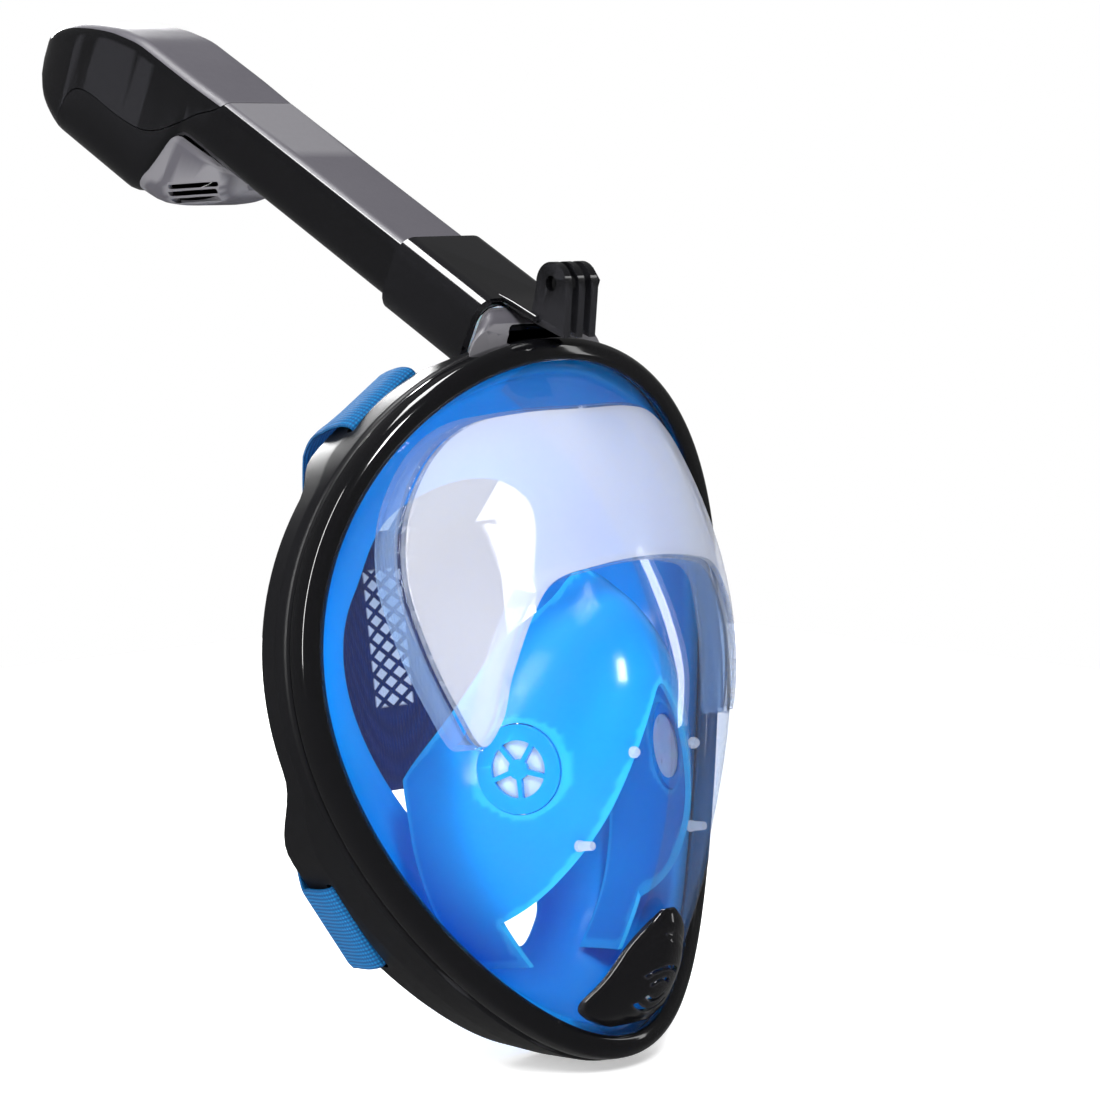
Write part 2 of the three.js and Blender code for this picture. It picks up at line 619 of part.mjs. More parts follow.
function pocketPin(side, z) {
  const x = side * ((ARCH.apex - z) * ARCH.slope + 3.2);
  const turn = Math.asin(x / station(POCKET_WIDTH, z));
  const foot = pocketPoint(turn, z, 0, new THREE.Vector3());
  const tip = lensDepth(x, z) + LENS.wall + 1.8;
  const rear = foot.y - 2;
  const pin = new THREE.CylinderGeometry(1.5, 2, rear - tip, 12);
  return pin.translate(x, (tip + rear) / 2, z);
}

// ---- Purge valve at the chin ----------------------------------------------------------------
// Puts a piece made on the Y axis at the purge valve, its +Y facing out through the lens.
function purgePlace(geometry, out) {
  const here = new THREE.Vector3(0, lensDepth(0, PURGE.z) + LENS.wall / 2, PURGE.z);
  const slope = lensDepth(0, PURGE.z - 1) - lensDepth(0, PURGE.z + 1);
  const normal = new THREE.Vector3(0, -1, -slope / 2).normalize();
  const turned = new THREE.Quaternion().setFromUnitVectors(new THREE.Vector3(0, 1, 0), normal);
  return geometry.clone().applyQuaternion(turned).translate(...here.addScaledVector(normal, out));
}

const COVER_WIDTH = [[-114.5, 9], [-112.5, 15], [-109, 20], [-106, 22.5], [-103, 21.5], [-98, 18], [-92, 15.5],
  [-86, 13.5], [-80, 9.5], [-76, 5], [-74, 2]];

function coverPoint(x, z, lift, target) {
  return target.set(x, lensDepth(x, z) - lift, z);
}

function purgeCoverGeometry() {
  const levels = COVER_WIDTH.map(([z]) => z);
  const across = 10;
  const lift = (x, z) => {
    const half = station(COVER_WIDTH, z) + 0.01;
    const side = 1 - (x / half) ** 2;
    const ends = smooth(z, PURGE.coverBottom - 0.5, PURGE.coverBottom + 5) * (1 - smooth(z, -82, -73.5));
    const dome = max(0, 1 - ((x / 15) ** 2 + ((z - PURGE.z) / 15) ** 2)) ** 0.7;
    return 3.2 * sqrt(max(0, side)) * ends + 3.6 * dome;
  };
  const place = (row, column, target) => {
    const z = levels[row];
    const half = station(COVER_WIDTH, z);
    const front = column <= across;
    const step = front ? column : 2 * across + 1 - column;
    const x = half * ((2 * step) / across - 1);
    if (front) coverPoint(x, z, 2.4 + lift(x, z), target);
    else coverPoint(x, z, 0.5 + lift(x, z) * 0.95, target);
  };
  const shell = skin(levels.length, 2 * across + 2, place, true);
  return cut(shell, ...coverSlots());
}

// Two rings of curved slots, one arc above and one below the middle in each.
function coverSlots() {
  const rings = [{ radius: 4.6, width: 1.5, span: 62 * DEG }, { radius: 9.2, width: 1.7, span: 52 * DEG }];
  return rings.flatMap(({ radius, width, span }) => [PI / 2, -PI / 2].map((middle) => {
    const shape = new THREE.Shape();
    shape.absarc(0, 0, radius + width / 2, middle - span, middle + span, false);
    shape.absarc(0, 0, radius - width / 2, middle + span, middle - span, true);
    const slot = new THREE.ExtrudeGeometry(shape, { depth: 30, bevelEnabled: false, curveSegments: 5 });
    return purgePlace(slot.translate(0, 0, -30).rotateX(PI / 2), 0);
  }));
}

// ---- Head harness ------------------------------------------------------------------------------
// A strap through points; each point carries the direction of the strap's width.
function ribbon(points, widths, width, thickness) {
  const path = new THREE.CatmullRomCurve3(points, false, 'centripetal');
  const steps = (points.length - 1) * 6;
  const strips = 3;
  const place = (row, column, target) => {
    const t = row / steps;
    const at = t * (widths.length - 1);
    const index = min(widths.length - 2, Math.floor(at));
    const across = widths[index].clone().lerp(widths[index + 1], at - index).normalize();
    const normal = new THREE.Vector3().crossVectors(path.getTangent(t), across).normalize();
    const under = column <= strips;
    const side = ((under ? column : 2 * strips + 1 - column) / strips) * 2 - 1;
    target.copy(path.getPoint(t));
    target.addScaledVector(across, (side * width) / 2);
    target.addScaledVector(normal, ((under ? -1 : 1) * thickness) / 2);
  };
  return skin(steps + 1, 2 * strips + 2, place, true);
}

// The strap comes up inside the frame, out through the slot, over the bar and back to the pad.
function strapGeometry(lug, side) {
  const angle = side > 0 ? lug.angle : 2 * PI - lug.angle;
  const { along } = wallAxes(angle);
  const rear = frameDepth(angle);
  const at = (outward, depth) => rimPoint(angle, outward, depth, new THREE.Vector3());
  const face = frameOutward(rear);
  const off = STRAP.thickness / 2 + 0.7;
  const inner = face - FRAME.wall - off - 2;
  const tailLength = 16;
  const points = [
    at(inner - 2, rear + tailLength), at(inner - 1, rear + 4), at(inner + 0.1, lug.slotDepth + 3.5),
    at(inner + 2, lug.slotDepth), at(face + off * 0.6, lug.slotDepth), at(face + off + 0.9, lug.slotDepth + 3.5),
    at(face + off + 0.5, rear + 0.5), at(face + off - 0.6, rear + 5),
  ];
  const widths = points.map(() => along.clone().multiplyScalar(side));
  const corner = padCorner(lug, side);
  const waypoint = harnessWaypoint(lug, side);
  points.push(waypoint.place, corner.place);
  widths.push(waypoint.across, corner.across);
  return ribbon(points, widths, STRAP.width, STRAP.thickness);
}

function harnessWaypoint(lug, side) {
  const upper = lug.name === 'upper';
  const place = upper ? new THREE.Vector3(side * 37, 76, 98) : new THREE.Vector3(side * 66, 80, -34);
  const across = upper ? new THREE.Vector3(side, 0, -0.2) : new THREE.Vector3(-side * 0.35, 0, -0.9);
  return { place, across };
}

const padDepth = (x) => PAD.y - PAD.curve * (x / PAD.halfWidth) ** 2;

// The upper straps meet the panel's top edge and the lower straps meet its sides.
function padCorner(lug, side) {
  if (lug.name === 'upper') {
    const x = PAD.halfWidth - STRAP.width / 2 - 4;
    return { place: new THREE.Vector3(side * x, padDepth(x), PAD.top + 1.6), across: new THREE.Vector3(side, -0.25, 0) };
  }
  const x = PAD.halfWidth + 1;
  const z = PAD.bottom + STRAP.width / 2;
  return { place: new THREE.Vector3(side * x, padDepth(x), z), across: new THREE.Vector3(0, 0, -1) };
}

// The wide panel at the back of the head where the four straps meet.
function padGeometry() {
  const columns = 12;
  const outline = (row, column, target) => {
    const front = column <= columns;
    const step = front ? column : 2 * columns + 1 - column;
    const x = PAD.halfWidth * ((2 * step) / columns - 1);
    const z = PAD.bottom + ((PAD.top - PAD.bottom) * row) / 4;
    target.set(x, padDepth(x) + (front ? -1 : 1) * (PAD.thickness / 2), z);
  };
  return skin(5, 2 * columns + 2, outline, true);
}

// ---- Assembly -----------------------------------------------------------------------------------
const group = new THREE.Group();
const mask = new THREE.Group();
mask.rotation.x = -LEAN;
mask.position.set(0, -FACE_DEPTH * cos(LEAN), FACE_DEPTH * sin(LEAN));
group.add(mask);

const tube = new THREE.Group();
tube.rotation.x = -TUBE.tilt;
tube.position.set(0, TUBE_FOOT.y, TUBE_FOOT.z);
mask.add(tube);

function add(parent, name, geometry, material) {
  const mesh = new THREE.Mesh(closed(geometry), material);
  mesh.name = name;
  parent.add(mesh);
}

add(mask, 'lens', lensGeometry(), PAINT.lens());
add(mask, 'front_rim', frontRimGeometry(), PAINT.glossBlack());
add(mask, 'rear_frame', rearFrameGeometry(), PAINT.satinBlack());
add(mask, 'tube_socket', tubeSocketGeometry(), PAINT.satinGrey());
add(mask, 'camera_clip', cameraClipGeometry(), PAINT.satinBlack());

add(mask, 'face_skirt', skirtGeometry(), PAINT.silicone());
add(mask, 'eye_seal', eyeSealGeometry(), PAINT.silicone());
add(mask, 'breathing_pocket', pocketGeometry(), PAINT.silicone());

const SIDES = [{ name: 'left', sign: 1 }, { name: 'right', sign: -1 }];
for (const { name, sign } of SIDES) {
  const seat = spokedSeat(VALVE.seatRadius, VALVE.windowRadius, VALVE.hub, VALVE.spoke, VALVE.spokes, POCKET.wall);
  add(mask, `pocket_valve_seat_${name}`, valvePlace(sign, seat, 0), PAINT.silicone());
  const flap = disc(VALVE.windowRadius + 1.4, 0.8, 24);
  add(mask, `pocket_valve_flap_${name}`, valvePlace(sign, flap, -POCKET.wall / 2 - 0.8), PAINT.membrane());
  add(mask, `pocket_pin_upper_${name}`, pocketPin(sign, -18.7), PAINT.clear());
  add(mask, `pocket_pin_lower_${name}`, pocketPin(sign, -49), PAINT.clear());
}

const purgeSeat = spokedSeat(PURGE.seatRadius, 8, 2, 1.4, 4, LENS.wall);
add(mask, 'purge_valve_seat', purgePlace(purgeSeat, 0), PAINT.satinBlack());
add(mask, 'purge_membrane', purgePlace(disc(PURGE.membraneRadius, 0.8, 24), LENS.wall / 2 + 0.8), PAINT.membrane());
add(mask, 'purge_cover', purgeCoverGeometry(), PAINT.glossBlack());

add(tube, 'neck_gasket', gasketGeometry(), PAINT.membrane());
add(tube, 'snorkel_tube', tubeGeometry(), PAINT.glossBlack());
add(tube, 'tube_divider', dividerGeometry(), PAINT.satinBlack());
add(tube, 'dry_top_cap', capGeometry(), PAINT.satinGrey());
add(tube, 'intake_grille', grilleGeometry(), PAINT.satinGrey());
add(tube, 'valve_plate', valvePlateGeometry(), PAINT.satinBlack());
add(tube, 'float', floatGeometry(), PAINT.float());
add(tube, 'float_seal', floatSealGeometry(), PAINT.silicone());

for (const lug of LUGS) {
  for (const { name, sign } of SIDES) {
    add(mask, `${lug.name}_strap_${name}`, strapGeometry(lug, sign), PAINT.webbing());
  }
}
add(mask, 'back_pad', padGeometry(), PAINT.webbing());

export default group;
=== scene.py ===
"""Full face snorkel: looks, soft parts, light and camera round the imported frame."""
import math

import bmesh
import bpy
from mathutils import Matrix, Vector


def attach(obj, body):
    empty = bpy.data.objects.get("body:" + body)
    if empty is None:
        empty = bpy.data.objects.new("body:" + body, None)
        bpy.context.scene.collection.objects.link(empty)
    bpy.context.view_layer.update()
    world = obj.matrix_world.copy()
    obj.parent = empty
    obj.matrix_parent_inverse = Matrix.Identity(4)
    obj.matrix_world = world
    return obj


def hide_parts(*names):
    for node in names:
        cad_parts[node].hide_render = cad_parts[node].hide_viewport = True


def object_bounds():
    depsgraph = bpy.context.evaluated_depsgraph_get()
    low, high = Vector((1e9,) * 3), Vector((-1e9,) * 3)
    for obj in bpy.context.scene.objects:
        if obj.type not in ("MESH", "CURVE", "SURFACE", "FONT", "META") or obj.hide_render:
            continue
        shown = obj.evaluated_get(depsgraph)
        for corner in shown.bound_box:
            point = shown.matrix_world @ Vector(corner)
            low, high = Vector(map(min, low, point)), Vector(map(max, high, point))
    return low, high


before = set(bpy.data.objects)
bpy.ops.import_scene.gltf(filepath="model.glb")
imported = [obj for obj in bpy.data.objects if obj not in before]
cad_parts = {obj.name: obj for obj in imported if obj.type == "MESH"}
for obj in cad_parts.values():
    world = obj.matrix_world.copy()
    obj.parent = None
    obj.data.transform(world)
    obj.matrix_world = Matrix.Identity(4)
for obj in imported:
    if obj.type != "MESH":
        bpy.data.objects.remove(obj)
size_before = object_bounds()

MM = 0.001
DEG = math.pi / 180
PI = math.pi

# In metres: the mask leans back about the face's middle, and the tube leaves its crown.
LEAN = 8.5 * DEG
FACE_TO_RIM = 0.06
TUBE_FOOT = (0, 0.0174, 0.127)
TUBE_TILT = 55 * DEG
RIM_MIDDLE = (0, -FACE_TO_RIM * math.cos(LEAN), FACE_TO_RIM * math.sin(LEAN))
MASK = Matrix.Translation(RIM_MIDDLE) @ Matrix.Rotation(-LEAN, 4, "X")
TUBE_FRAME = MASK @ Matrix.Translation(TUBE_FOOT) @ Matrix.Rotation(-TUBE_TILT, 4, "X")

# Driving dimensions of the part, in millimetres in the mask's or the tube's own frame.
HALF_WIDTH = 90
HALF_HEIGHT = 118
WRAP = 34
BULGE = 44
LENS_WALL = 2.6
RIM_STEPS = 192
FRAME_OUTER = 9.6
FRAME_WALL = 2.8
FRAME_FRONT = 5.8
LUGS = {"upper": (28 * DEG, 23.5), "lower": (125 * DEG, 33.5)}
STRAP_WIDTH = 36
STRAP_THICKNESS = 1.6
TUBE_HALF_WIDTH = 18
TUBE_HALF_DEPTH = 12
TUBE_WALL = 2.2
TUBE_CORNERS = (4.5, 7.5)
CORNER_STEPS = 7


# ---- Small tools ----
def turns(count):
    """Angles evenly spaced round a circle."""
    return [i / count * 2 * PI for i in range(count)]


def smooth(value, low, high):
    t = min(1, max(0, (value - low) / (high - low)))
    return t * t * (3 - 2 * t)


def station(table, at):
    """Piecewise-linear reading of (position, value) stations."""
    if at <= table[0][0]:
        return table[0][1]
    for (p0, v0), (p1, v1) in zip(table, table[1:]):
        if at <= p1:
            return v0 + (v1 - v0) * (at - p0) / (p1 - p0)
    return table[-1][1]


def rounded(points, radius, steps=4):
    """The same closed outline with each corner turned into a small curve."""
    result = []
    count = len(points)
    for i, point in enumerate(points):
        here = Vector(point)
        back = Vector(points[i - 1]) - here
        ahead = Vector(points[(i + 1) % count]) - here
        start = here + back.normalized() * min(radius, back.length * 0.45)
        end = here + ahead.normalized() * min(radius, ahead.length * 0.45)
        for k in range(steps + 1):
            t = k / steps
            result.append(start * (1 - t) ** 2 + here * 2 * t * (1 - t) + end * t * t)
    return result


def new_object(name, points, faces, place=MASK):
    mesh = bpy.data.meshes.new(name)
    mesh.from_pydata([place @ (Vector(p) * MM) for p in points], [], faces)
    return from_mesh(name, mesh)


def from_mesh(name, mesh):
    shape = bmesh.new()
    shape.from_mesh(mesh)
    bmesh.ops.remove_doubles(shape, verts=shape.verts, dist=1e-6)
    bmesh.ops.dissolve_degenerate(shape, edges=shape.edges, dist=1e-7)
    bmesh.ops.recalc_face_normals(shape, faces=shape.faces)
    shape.to_mesh(mesh)
    shape.free()
    obj = bpy.data.objects.new(name, mesh)
    bpy.context.scene.collection.objects.link(obj)
    return obj


def skin(name, rows, wrap_rows=False, capped=False, place=MASK):
    """A surface through rows of points; each row is a closed loop."""
    width = len(rows[0])
    points = [p for row in rows for p in row]
    faces = []
    for r in range(len(rows) if wrap_rows else len(rows) - 1):
        for c in range(width):
            a = r * width + c
            b = r * width + (c + 1) % width
            step = width if r < len(rows) - 1 else -r * width
            faces.append((a, b, b + step, a + step))
    if capped:
        faces.append(tuple(range(width)))
        faces.append(tuple(range(len(points) - width, len(points))))
    return new_object(name, points, faces, place)


def prism(name, outline, ends, axis, place=MASK):
    """A bar along x or y; its outline holds pairs of the two other coordinates."""
    rows = [[Vector((at, a, b)) if axis == "x" else Vector((a, at, b)) for a, b in outline] for at in ends]
    return skin(name, rows, capped=True, place=place)


def two_faced(levels, columns, corner):
    """One loop per level: across the front, where share runs from -1 to 1, and back across the rear."""
    rows = []
    for level in levels:
        shares = [2 * column / columns - 1 for column in range(columns + 1)]
        row = [corner(level, share, True) for share in shares]
        rows.append(row + [corner(level, share, False) for share in reversed(shares)])
    return rows


def settle(obj):
    """Applies the modifiers that obj has so far."""
    graph = bpy.context.evaluated_depsgraph_get()
    mesh = bpy.data.meshes.new_from_object(obj.evaluated_get(graph))
    obj.modifiers.clear()
    obj.data = mesh
    return obj


def carve(obj, cutters, operation="DIFFERENCE"):
    """Cuts the cutters from obj, joins them to it or keeps what they share."""
    for cutter in cutters:
        modifier = obj.modifiers.new("cut", "BOOLEAN")
        modifier.operation = operation
        modifier.solver = "EXACT"
        modifier.object = cutter
    settle(obj)
    for cutter in cutters:
        bpy.data.objects.remove(cutter, do_unlink=True)
    return obj


def soften(obj, width=0.4, angle=32, segments=3):
    """Rounds the sharp edges by width millimetres and shades the rest smooth."""
    modifier = obj.modifiers.new("edges", "BEVEL")
    modifier.width = width * MM
    modifier.segments = segments
    modifier.limit_method = "ANGLE"
    modifier.angle_limit = angle * DEG
    settle(obj)
    shade(obj, angle + 8)
    modifier = obj.modifiers.new("normals", "WEIGHTED_NORMAL")
    modifier.keep_sharp = True
    return settle(obj)


def shade(obj, angle=40):
    obj.data.shade_smooth()
    obj.data.set_sharp_from_angle(angle=angle * DEG)
    return obj


def dress(obj, body, nodes, slot, *materials):
    """Gives a piece its materials and its body, and hides the CAD nodes it stands for; slot is not used."""
    obj.data.materials.clear()
    for material in materials:
        obj.data.materials.append(material)
    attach(obj, body)
    if nodes:
        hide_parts(*nodes)
    return obj


def repaint(node, material):
    """A CAD node whose shape stays gets a finished material."""
    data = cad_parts[node].data
    data.materials.clear()
    data.materials.append(material)


# ---- The mask's outline and lens, as in the part ----
def outline_x(angle):
    c = math.cos(angle)
    return HALF_WIDTH * math.sin(angle) * (1 + 0.235 * c - 0.03 * c * c)


def rim_point(angle, outward, depth):
    """A point off the outline: outward in its own plane and back along +Y."""
    step = 1e-4
    dx = (outline_x(angle + step) - outline_x(angle - step)) / (2 * step)
    dz = -HALF_HEIGHT * math.sin(angle)
    length = math.hypot(dx, dz)
    x = outline_x(angle) - dz / length * outward
    z = HALF_HEIGHT * math.cos(angle) + dx / length * outward
    return Vector((x, WRAP * math.sin(angle) ** 2 + depth, z))


def lens_point(angle, radius, depth):
    edge = WRAP * math.sin(angle) ** 2 * radius ** 2.6
    y = edge - BULGE * (1 - radius ** 2.1) + depth
    return Vector((radius * outline_x(angle), y, radius * HALF_HEIGHT * math.cos(angle)))


def lens_depth(x, z):
    """Depth of the lens's outer face above a point of its outline plane."""
    low = 1e-4
    high = PI - 1e-4
    for _ in range(36):
        angle = (low + high) / 2
        if abs(x) * HALF_HEIGHT * math.cos(angle) > z * outline_x(angle):
            low = angle
        else:
            high = angle
    radius = math.hypot(x, z) / math.hypot(outline_x(low), HALF_HEIGHT * math.cos(low))
    return lens_point(low, radius, 0).y


def from_crown(angle):
    return 2 * PI - angle if angle > PI else angle


def ring(name, profile):
    """A ring along the outline; profile(angle) lists its section's outward and depth corners."""
    rows = [[rim_point(angle, o, d) for o, d in profile(angle)] for angle in turns(RIM_STEPS)]
    return skin(name, rows, wrap_rows=True)


def frame_depth(angle):
    t = from_crown(angle) / DEG
    lug = smooth(t, 11, 20) * (1 - smooth(t, 41, 51))
    return 22 + 12 * lug + 23 * smooth(t, 96, 112)


def frame_outward(depth):
    return 10.4 - 0.11 * depth


def wall_axes(angle):
    """Unit directions of the frame's wall: along the outline, outward and back."""
    outward = rim_point(angle, 1, 0) - rim_point(angle, 0, 0)
    back = Vector((0, 1, 0))
    return back.cross(outward).normalized(), outward, back


# ---- Materials ----
class Paint:
    """A Principled material whose colour, roughness and bump come from procedural textures."""

    def __init__(self, name, **inputs):
        self.material = bpy.data.materials.new(name)
        self.material.use_nodes = True
        self.tree = self.material.node_tree
        self.shader = self.tree.nodes["Principled BSDF"]
        self.output = self.tree.nodes["Material Output"]
        self.place = self.add("ShaderNodeTexCoord").outputs["Object"]
        for key, value in inputs.items():
            self.feed(self.shader.inputs[key.replace("_", " ")], value)

    def feed(self, socket, value):
        """Links value to the socket where it is a socket itself, and else sets it."""
        if isinstance(value, bpy.types.NodeSocket):
            self.tree.links.new(value, socket)
        elif socket.type == "RGBA":
            socket.default_value = (*value, 1)
        else:
            socket.default_value = value

    def add(self, kind, inputs=None, **settings):
        """A node; inputs holds what feeds its sockets, by name or number."""
        node = self.tree.nodes.new(kind)
        for key, value in settings.items():
            setattr(node, key, value)
        for key, value in (inputs or {}).items():
            self.feed(node.inputs[key], value)
        return node

    def stretch(self, scale, turn):
        """Object coordinates, scaled along each axis and then turned."""
        node = self.add("ShaderNodeMapping", {"Rotation": turn, "Scale": scale, "Vector": self.place})
        return node.outputs["Vector"]

    def noise(self, scale, detail=3):
        node = self.add("ShaderNodeTexNoise", {"Scale": scale, "Detail": detail, "Vector": self.place})
        return node.outputs["Fac"]

    def cells(self, scale):
        node = self.add("ShaderNodeTexVoronoi", {"Scale": scale, "Vector": self.place})
        return node.outputs["Distance"]

    def waves(self, pitch, place, direction):
        """Bands that repeat every pitch metres along place's direction."""
        return self.add("ShaderNodeTexWave", {"Scale": PI / 10 / pitch, "Vector": place},
                        bands_direction=direction).outputs["Fac"]

    def spread(self, value, low, high, start=0.0, end=1.0):
        """Maps value from start..end to low..high."""
        node = self.add("ShaderNodeMapRange", {"Value": value, "From Min": start, "From Max": end,
                                               "To Min": low, "To Max": high})
        return node.outputs["Result"]

    def calculate(self, operation, a, b):
        return self.add("ShaderNodeMath", {0: a, 1: b}, operation=operation).outputs["Value"]

    def mix(self, amount, first, second):
        """Blends two colours, each a tuple or a socket."""
        node = self.add("ShaderNodeMix", {"Factor": amount, 6: first, 7: second}, data_type="RGBA")
        return node.outputs[2]

    def colour(self, socket):
        self.feed(self.shader.inputs["Base Color"], socket)

    def roughness(self, value, low, high):
        self.feed(self.shader.inputs["Roughness"], self.spread(value, low, high))

    def bump(self, height, strength, distance):
        """Adds one layer of relief on top of those already there."""
        node = self.add("ShaderNodeBump", {"Strength": strength, "Distance": distance, "Height": height})
        normal = self.shader.inputs["Normal"]
        for below in normal.links:
            self.feed(node.inputs["Normal"], below.from_socket)
        self.feed(normal, node.outputs["Normal"])

    def moulding(self, drift, first, second, edge_highlight):
        """A colour that drifts between two tones, with a paler one painted on sharp outward corners as a
        highlight.
        """
        # Painted highlight: sharp outward corners take the paler third colour.
        corners = self.spread(self.add("ShaderNodeNewGeometry").outputs["Pointiness"], 0, 1, 0.52, 0.6)
        self.colour(self.mix(corners, self.mix(drift, first, second), edge_highlight))


def gloss_black():
    paint = Paint("gloss_black", Coat_Weight=0.4, Coat_Roughness=0.03, Specular_IOR_Level=0.4)
    # The third colour is the painted highlight on outward corners.
    paint.moulding(paint.noise(26, 2), (0.0015, 0.0015, 0.002), (0.003, 0.003, 0.0036),
                   (0.012, 0.012, 0.014))
    paint.roughness(paint.noise(140, 3), 0.08, 0.13)
    paint.bump(paint.noise(55, 2), 0.05, 0.0006)
    return paint.material


def satin_black():
    paint = Paint("satin_black", Specular_IOR_Level=0.2)
    # The third colour is the painted highlight on outward corners.
    paint.moulding(paint.noise(30), (0.003, 0.003, 0.0038), (0.006, 0.006, 0.007), (0.014, 0.014, 0.016))
    paint.roughness(paint.noise(220, 4), 0.27, 0.4)
    paint.bump(paint.noise(2600, 3), 0.13, 0.00012)
    paint.bump(paint.noise(60, 2), 0.04, 0.0005)
    return paint.material


def satin_grey():
    paint = Paint("satin_grey", Specular_IOR_Level=0.4)
    # The third colour is the painted highlight on outward corners.
    paint.moulding(paint.noise(18), (0.058, 0.055, 0.066), (0.078, 0.075, 0.086), (0.13, 0.127, 0.138))
    paint.roughness(paint.noise(260, 3), 0.36, 0.46)
    paint.bump(paint.noise(3200, 3), 0.16, 0.0001)
    return paint.material


def blue_silicone():
    paint = Paint("blue_silicone", Specular_IOR_Level=0.35, Subsurface_Weight=0.2,
                  Subsurface_Scale=0.006, Subsurface_Radius=(0.25, 0.6, 1.0))
    # The third colour is the painted highlight on outward corners.
    paint.moulding(paint.noise(12), (0.0, 0.27, 0.76), (0.0, 0.36, 0.90), (0.02, 0.48, 0.95))
    paint.roughness(paint.noise(70, 3), 0.11, 0.2)
    paint.bump(paint.noise(900, 2), 0.05, 0.0002)
    return paint.material


def clear_plastic(name, haze_share, tint=(0.95, 0.97, 1.0), haze_colour=(1.0, 0.97, 0.94)):
    """Clear moulding that mirrors more at a slant, with some white diffuse and translucent haze; on the eye
    window this haze is a painted reflection.
    """
    paint = Paint(name)
    paint.tree.nodes.remove(paint.shader)

    def blend(amount, first, second):
        return paint.add("ShaderNodeMixShader", {"Fac": amount, 1: first.outputs[0], 2: second.outputs[0]})

    through = paint.add("ShaderNodeBsdfTransparent", {"Color": tint})
    grain = paint.add("ShaderNodeBump", {"Strength": 0.05, "Distance": 0.0004, "Height": paint.noise(38, 2)})
    mirror = paint.add("ShaderNodeBsdfGlossy", {"Roughness": 0.035, "Normal": grain.outputs["Normal"]})
    slant = paint.add("ShaderNodeLayerWeight", {"Blend": 0.32})
    clear = blend(paint.spread(slant.outputs["Fresnel"], 0.01, 0.35), through, mirror)
    # White haze layer; on the eye window it is painted reflection of the white surroundings.
    haze_layer = blend(0.5, paint.add("ShaderNodeBsdfDiffuse", {"Color": haze_colour}),
                 paint.add("ShaderNodeBsdfTranslucent", {"Color": haze_colour}))
    paint.feed(paint.output.inputs["Surface"], blend(haze_share, clear, haze_layer).outputs[0])
    return paint.material


def valve_rubber():
    paint = Paint("valve_rubber", IOR=1.42, Subsurface_Weight=0.35, Subsurface_Scale=0.004)
    drift = paint.noise(90, 3)
    paint.colour(paint.mix(drift, (0.62, 0.70, 0.78), (0.75, 0.82, 0.88)))
    paint.roughness(paint.noise(200, 2), 0.24, 0.36)
    paint.bump(paint.noise(1400, 2), 0.08, 0.0001)
    return paint.material


def float_foam():
    paint = Paint("float_foam", Roughness=0.7)
    paint.colour(paint.mix(paint.cells(900), (0.80, 0.77, 0.68), (0.70, 0.67, 0.58)))
    paint.bump(paint.cells(900), 0.3, 0.0002)
    return paint.material


def threads(paint, place, rib, pick):
    """Relief and shade of woven elastic: ribs along the strap, fine picks across them."""
    ribs = paint.waves(rib, place, "X")
    picks = paint.waves(pick, place, "Y")
    return paint.calculate("MULTIPLY", paint.spread(ribs, 0.25, 1), paint.spread(picks, 0.4, 1))


def blue_webbing():
    paint = Paint("blue_webbing", Specular_IOR_Level=0.2)
    thread = paint.add("ShaderNodeAttribute", attribute_name="thread")
    weave = threads(paint, thread.outputs["Vector"], 0.0016, 0.0011)
    drift = paint.noise(60, 4)
    deep = paint.mix(drift, (0.0, 0.02, 0.09), (0.0, 0.035, 0.13))
    bright = paint.mix(drift, (0.0, 0.12, 0.31), (0.0, 0.155, 0.38))
    paint.colour(paint.mix(weave, deep, bright))
    paint.roughness(paint.noise(300, 2), 0.62, 0.82)
    paint.bump(weave, 0.75, 0.0005)
    paint.bump(paint.noise(2200, 3), 0.3, 0.0002)
    return paint.material


def mesh_panel():
    """Elastic with a printed open net of pale lozenges over its middle; its navy is a deep blue darkened as
    painted shade.
    """
    paint = Paint("mesh_panel", Specular_IOR_Level=0.2)
    weave = threads(paint, paint.place, 0.0014, 0.0014)
    lozenge = paint.stretch((1, 0, 1.35), (0, 45 * DEG, 0))
    strands = [paint.spread(paint.waves(0.0062, lozenge, axis), 0, 1, 0.16, 0.34) for axis in "XZ"]
    split = paint.add("ShaderNodeSeparateXYZ", {"Vector": paint.place})
    side = paint.calculate("ABSOLUTE", split.outputs["X"], 0)
    net = paint.calculate("MULTIPLY", *strands)
    for limit in (paint.spread(side, 1, 0, 0.0085, 0.0095),
                  paint.spread(split.outputs["Z"], 1, 0, 0.044, 0.045),
                  paint.spread(split.outputs["Z"], 0, 1, -0.006, -0.005)):
        net = paint.calculate("MULTIPLY", net, limit)
    # Painted shade: the panel's deep blue is darkened to navy.
    shade_darkened_navy = paint.mix(weave, (0.0, 0.010, 0.075), (0.0, 0.028, 0.19))
    paint.colour(paint.mix(net, shade_darkened_navy, (0.80, 0.84, 0.90)))
    paint.roughness(paint.noise(300, 2), 0.6, 0.8)
    paint.bump(weave, 0.6, 0.0004)
    paint.bump(net, 0.35, 0.0004)
    return paint.material


# ---- Lens, rim and frame ----
WINDOW_HALF = [(0, 100.5), (26, 100.5), (43, 98), (56.5, 89), (69, 70), (74, 48), (72, 24), (66, 2),
               (60, -11), (56.5, -3), (54, 12), (47, 31), (38.5, 42), (22, 46), (0, 47.5)]


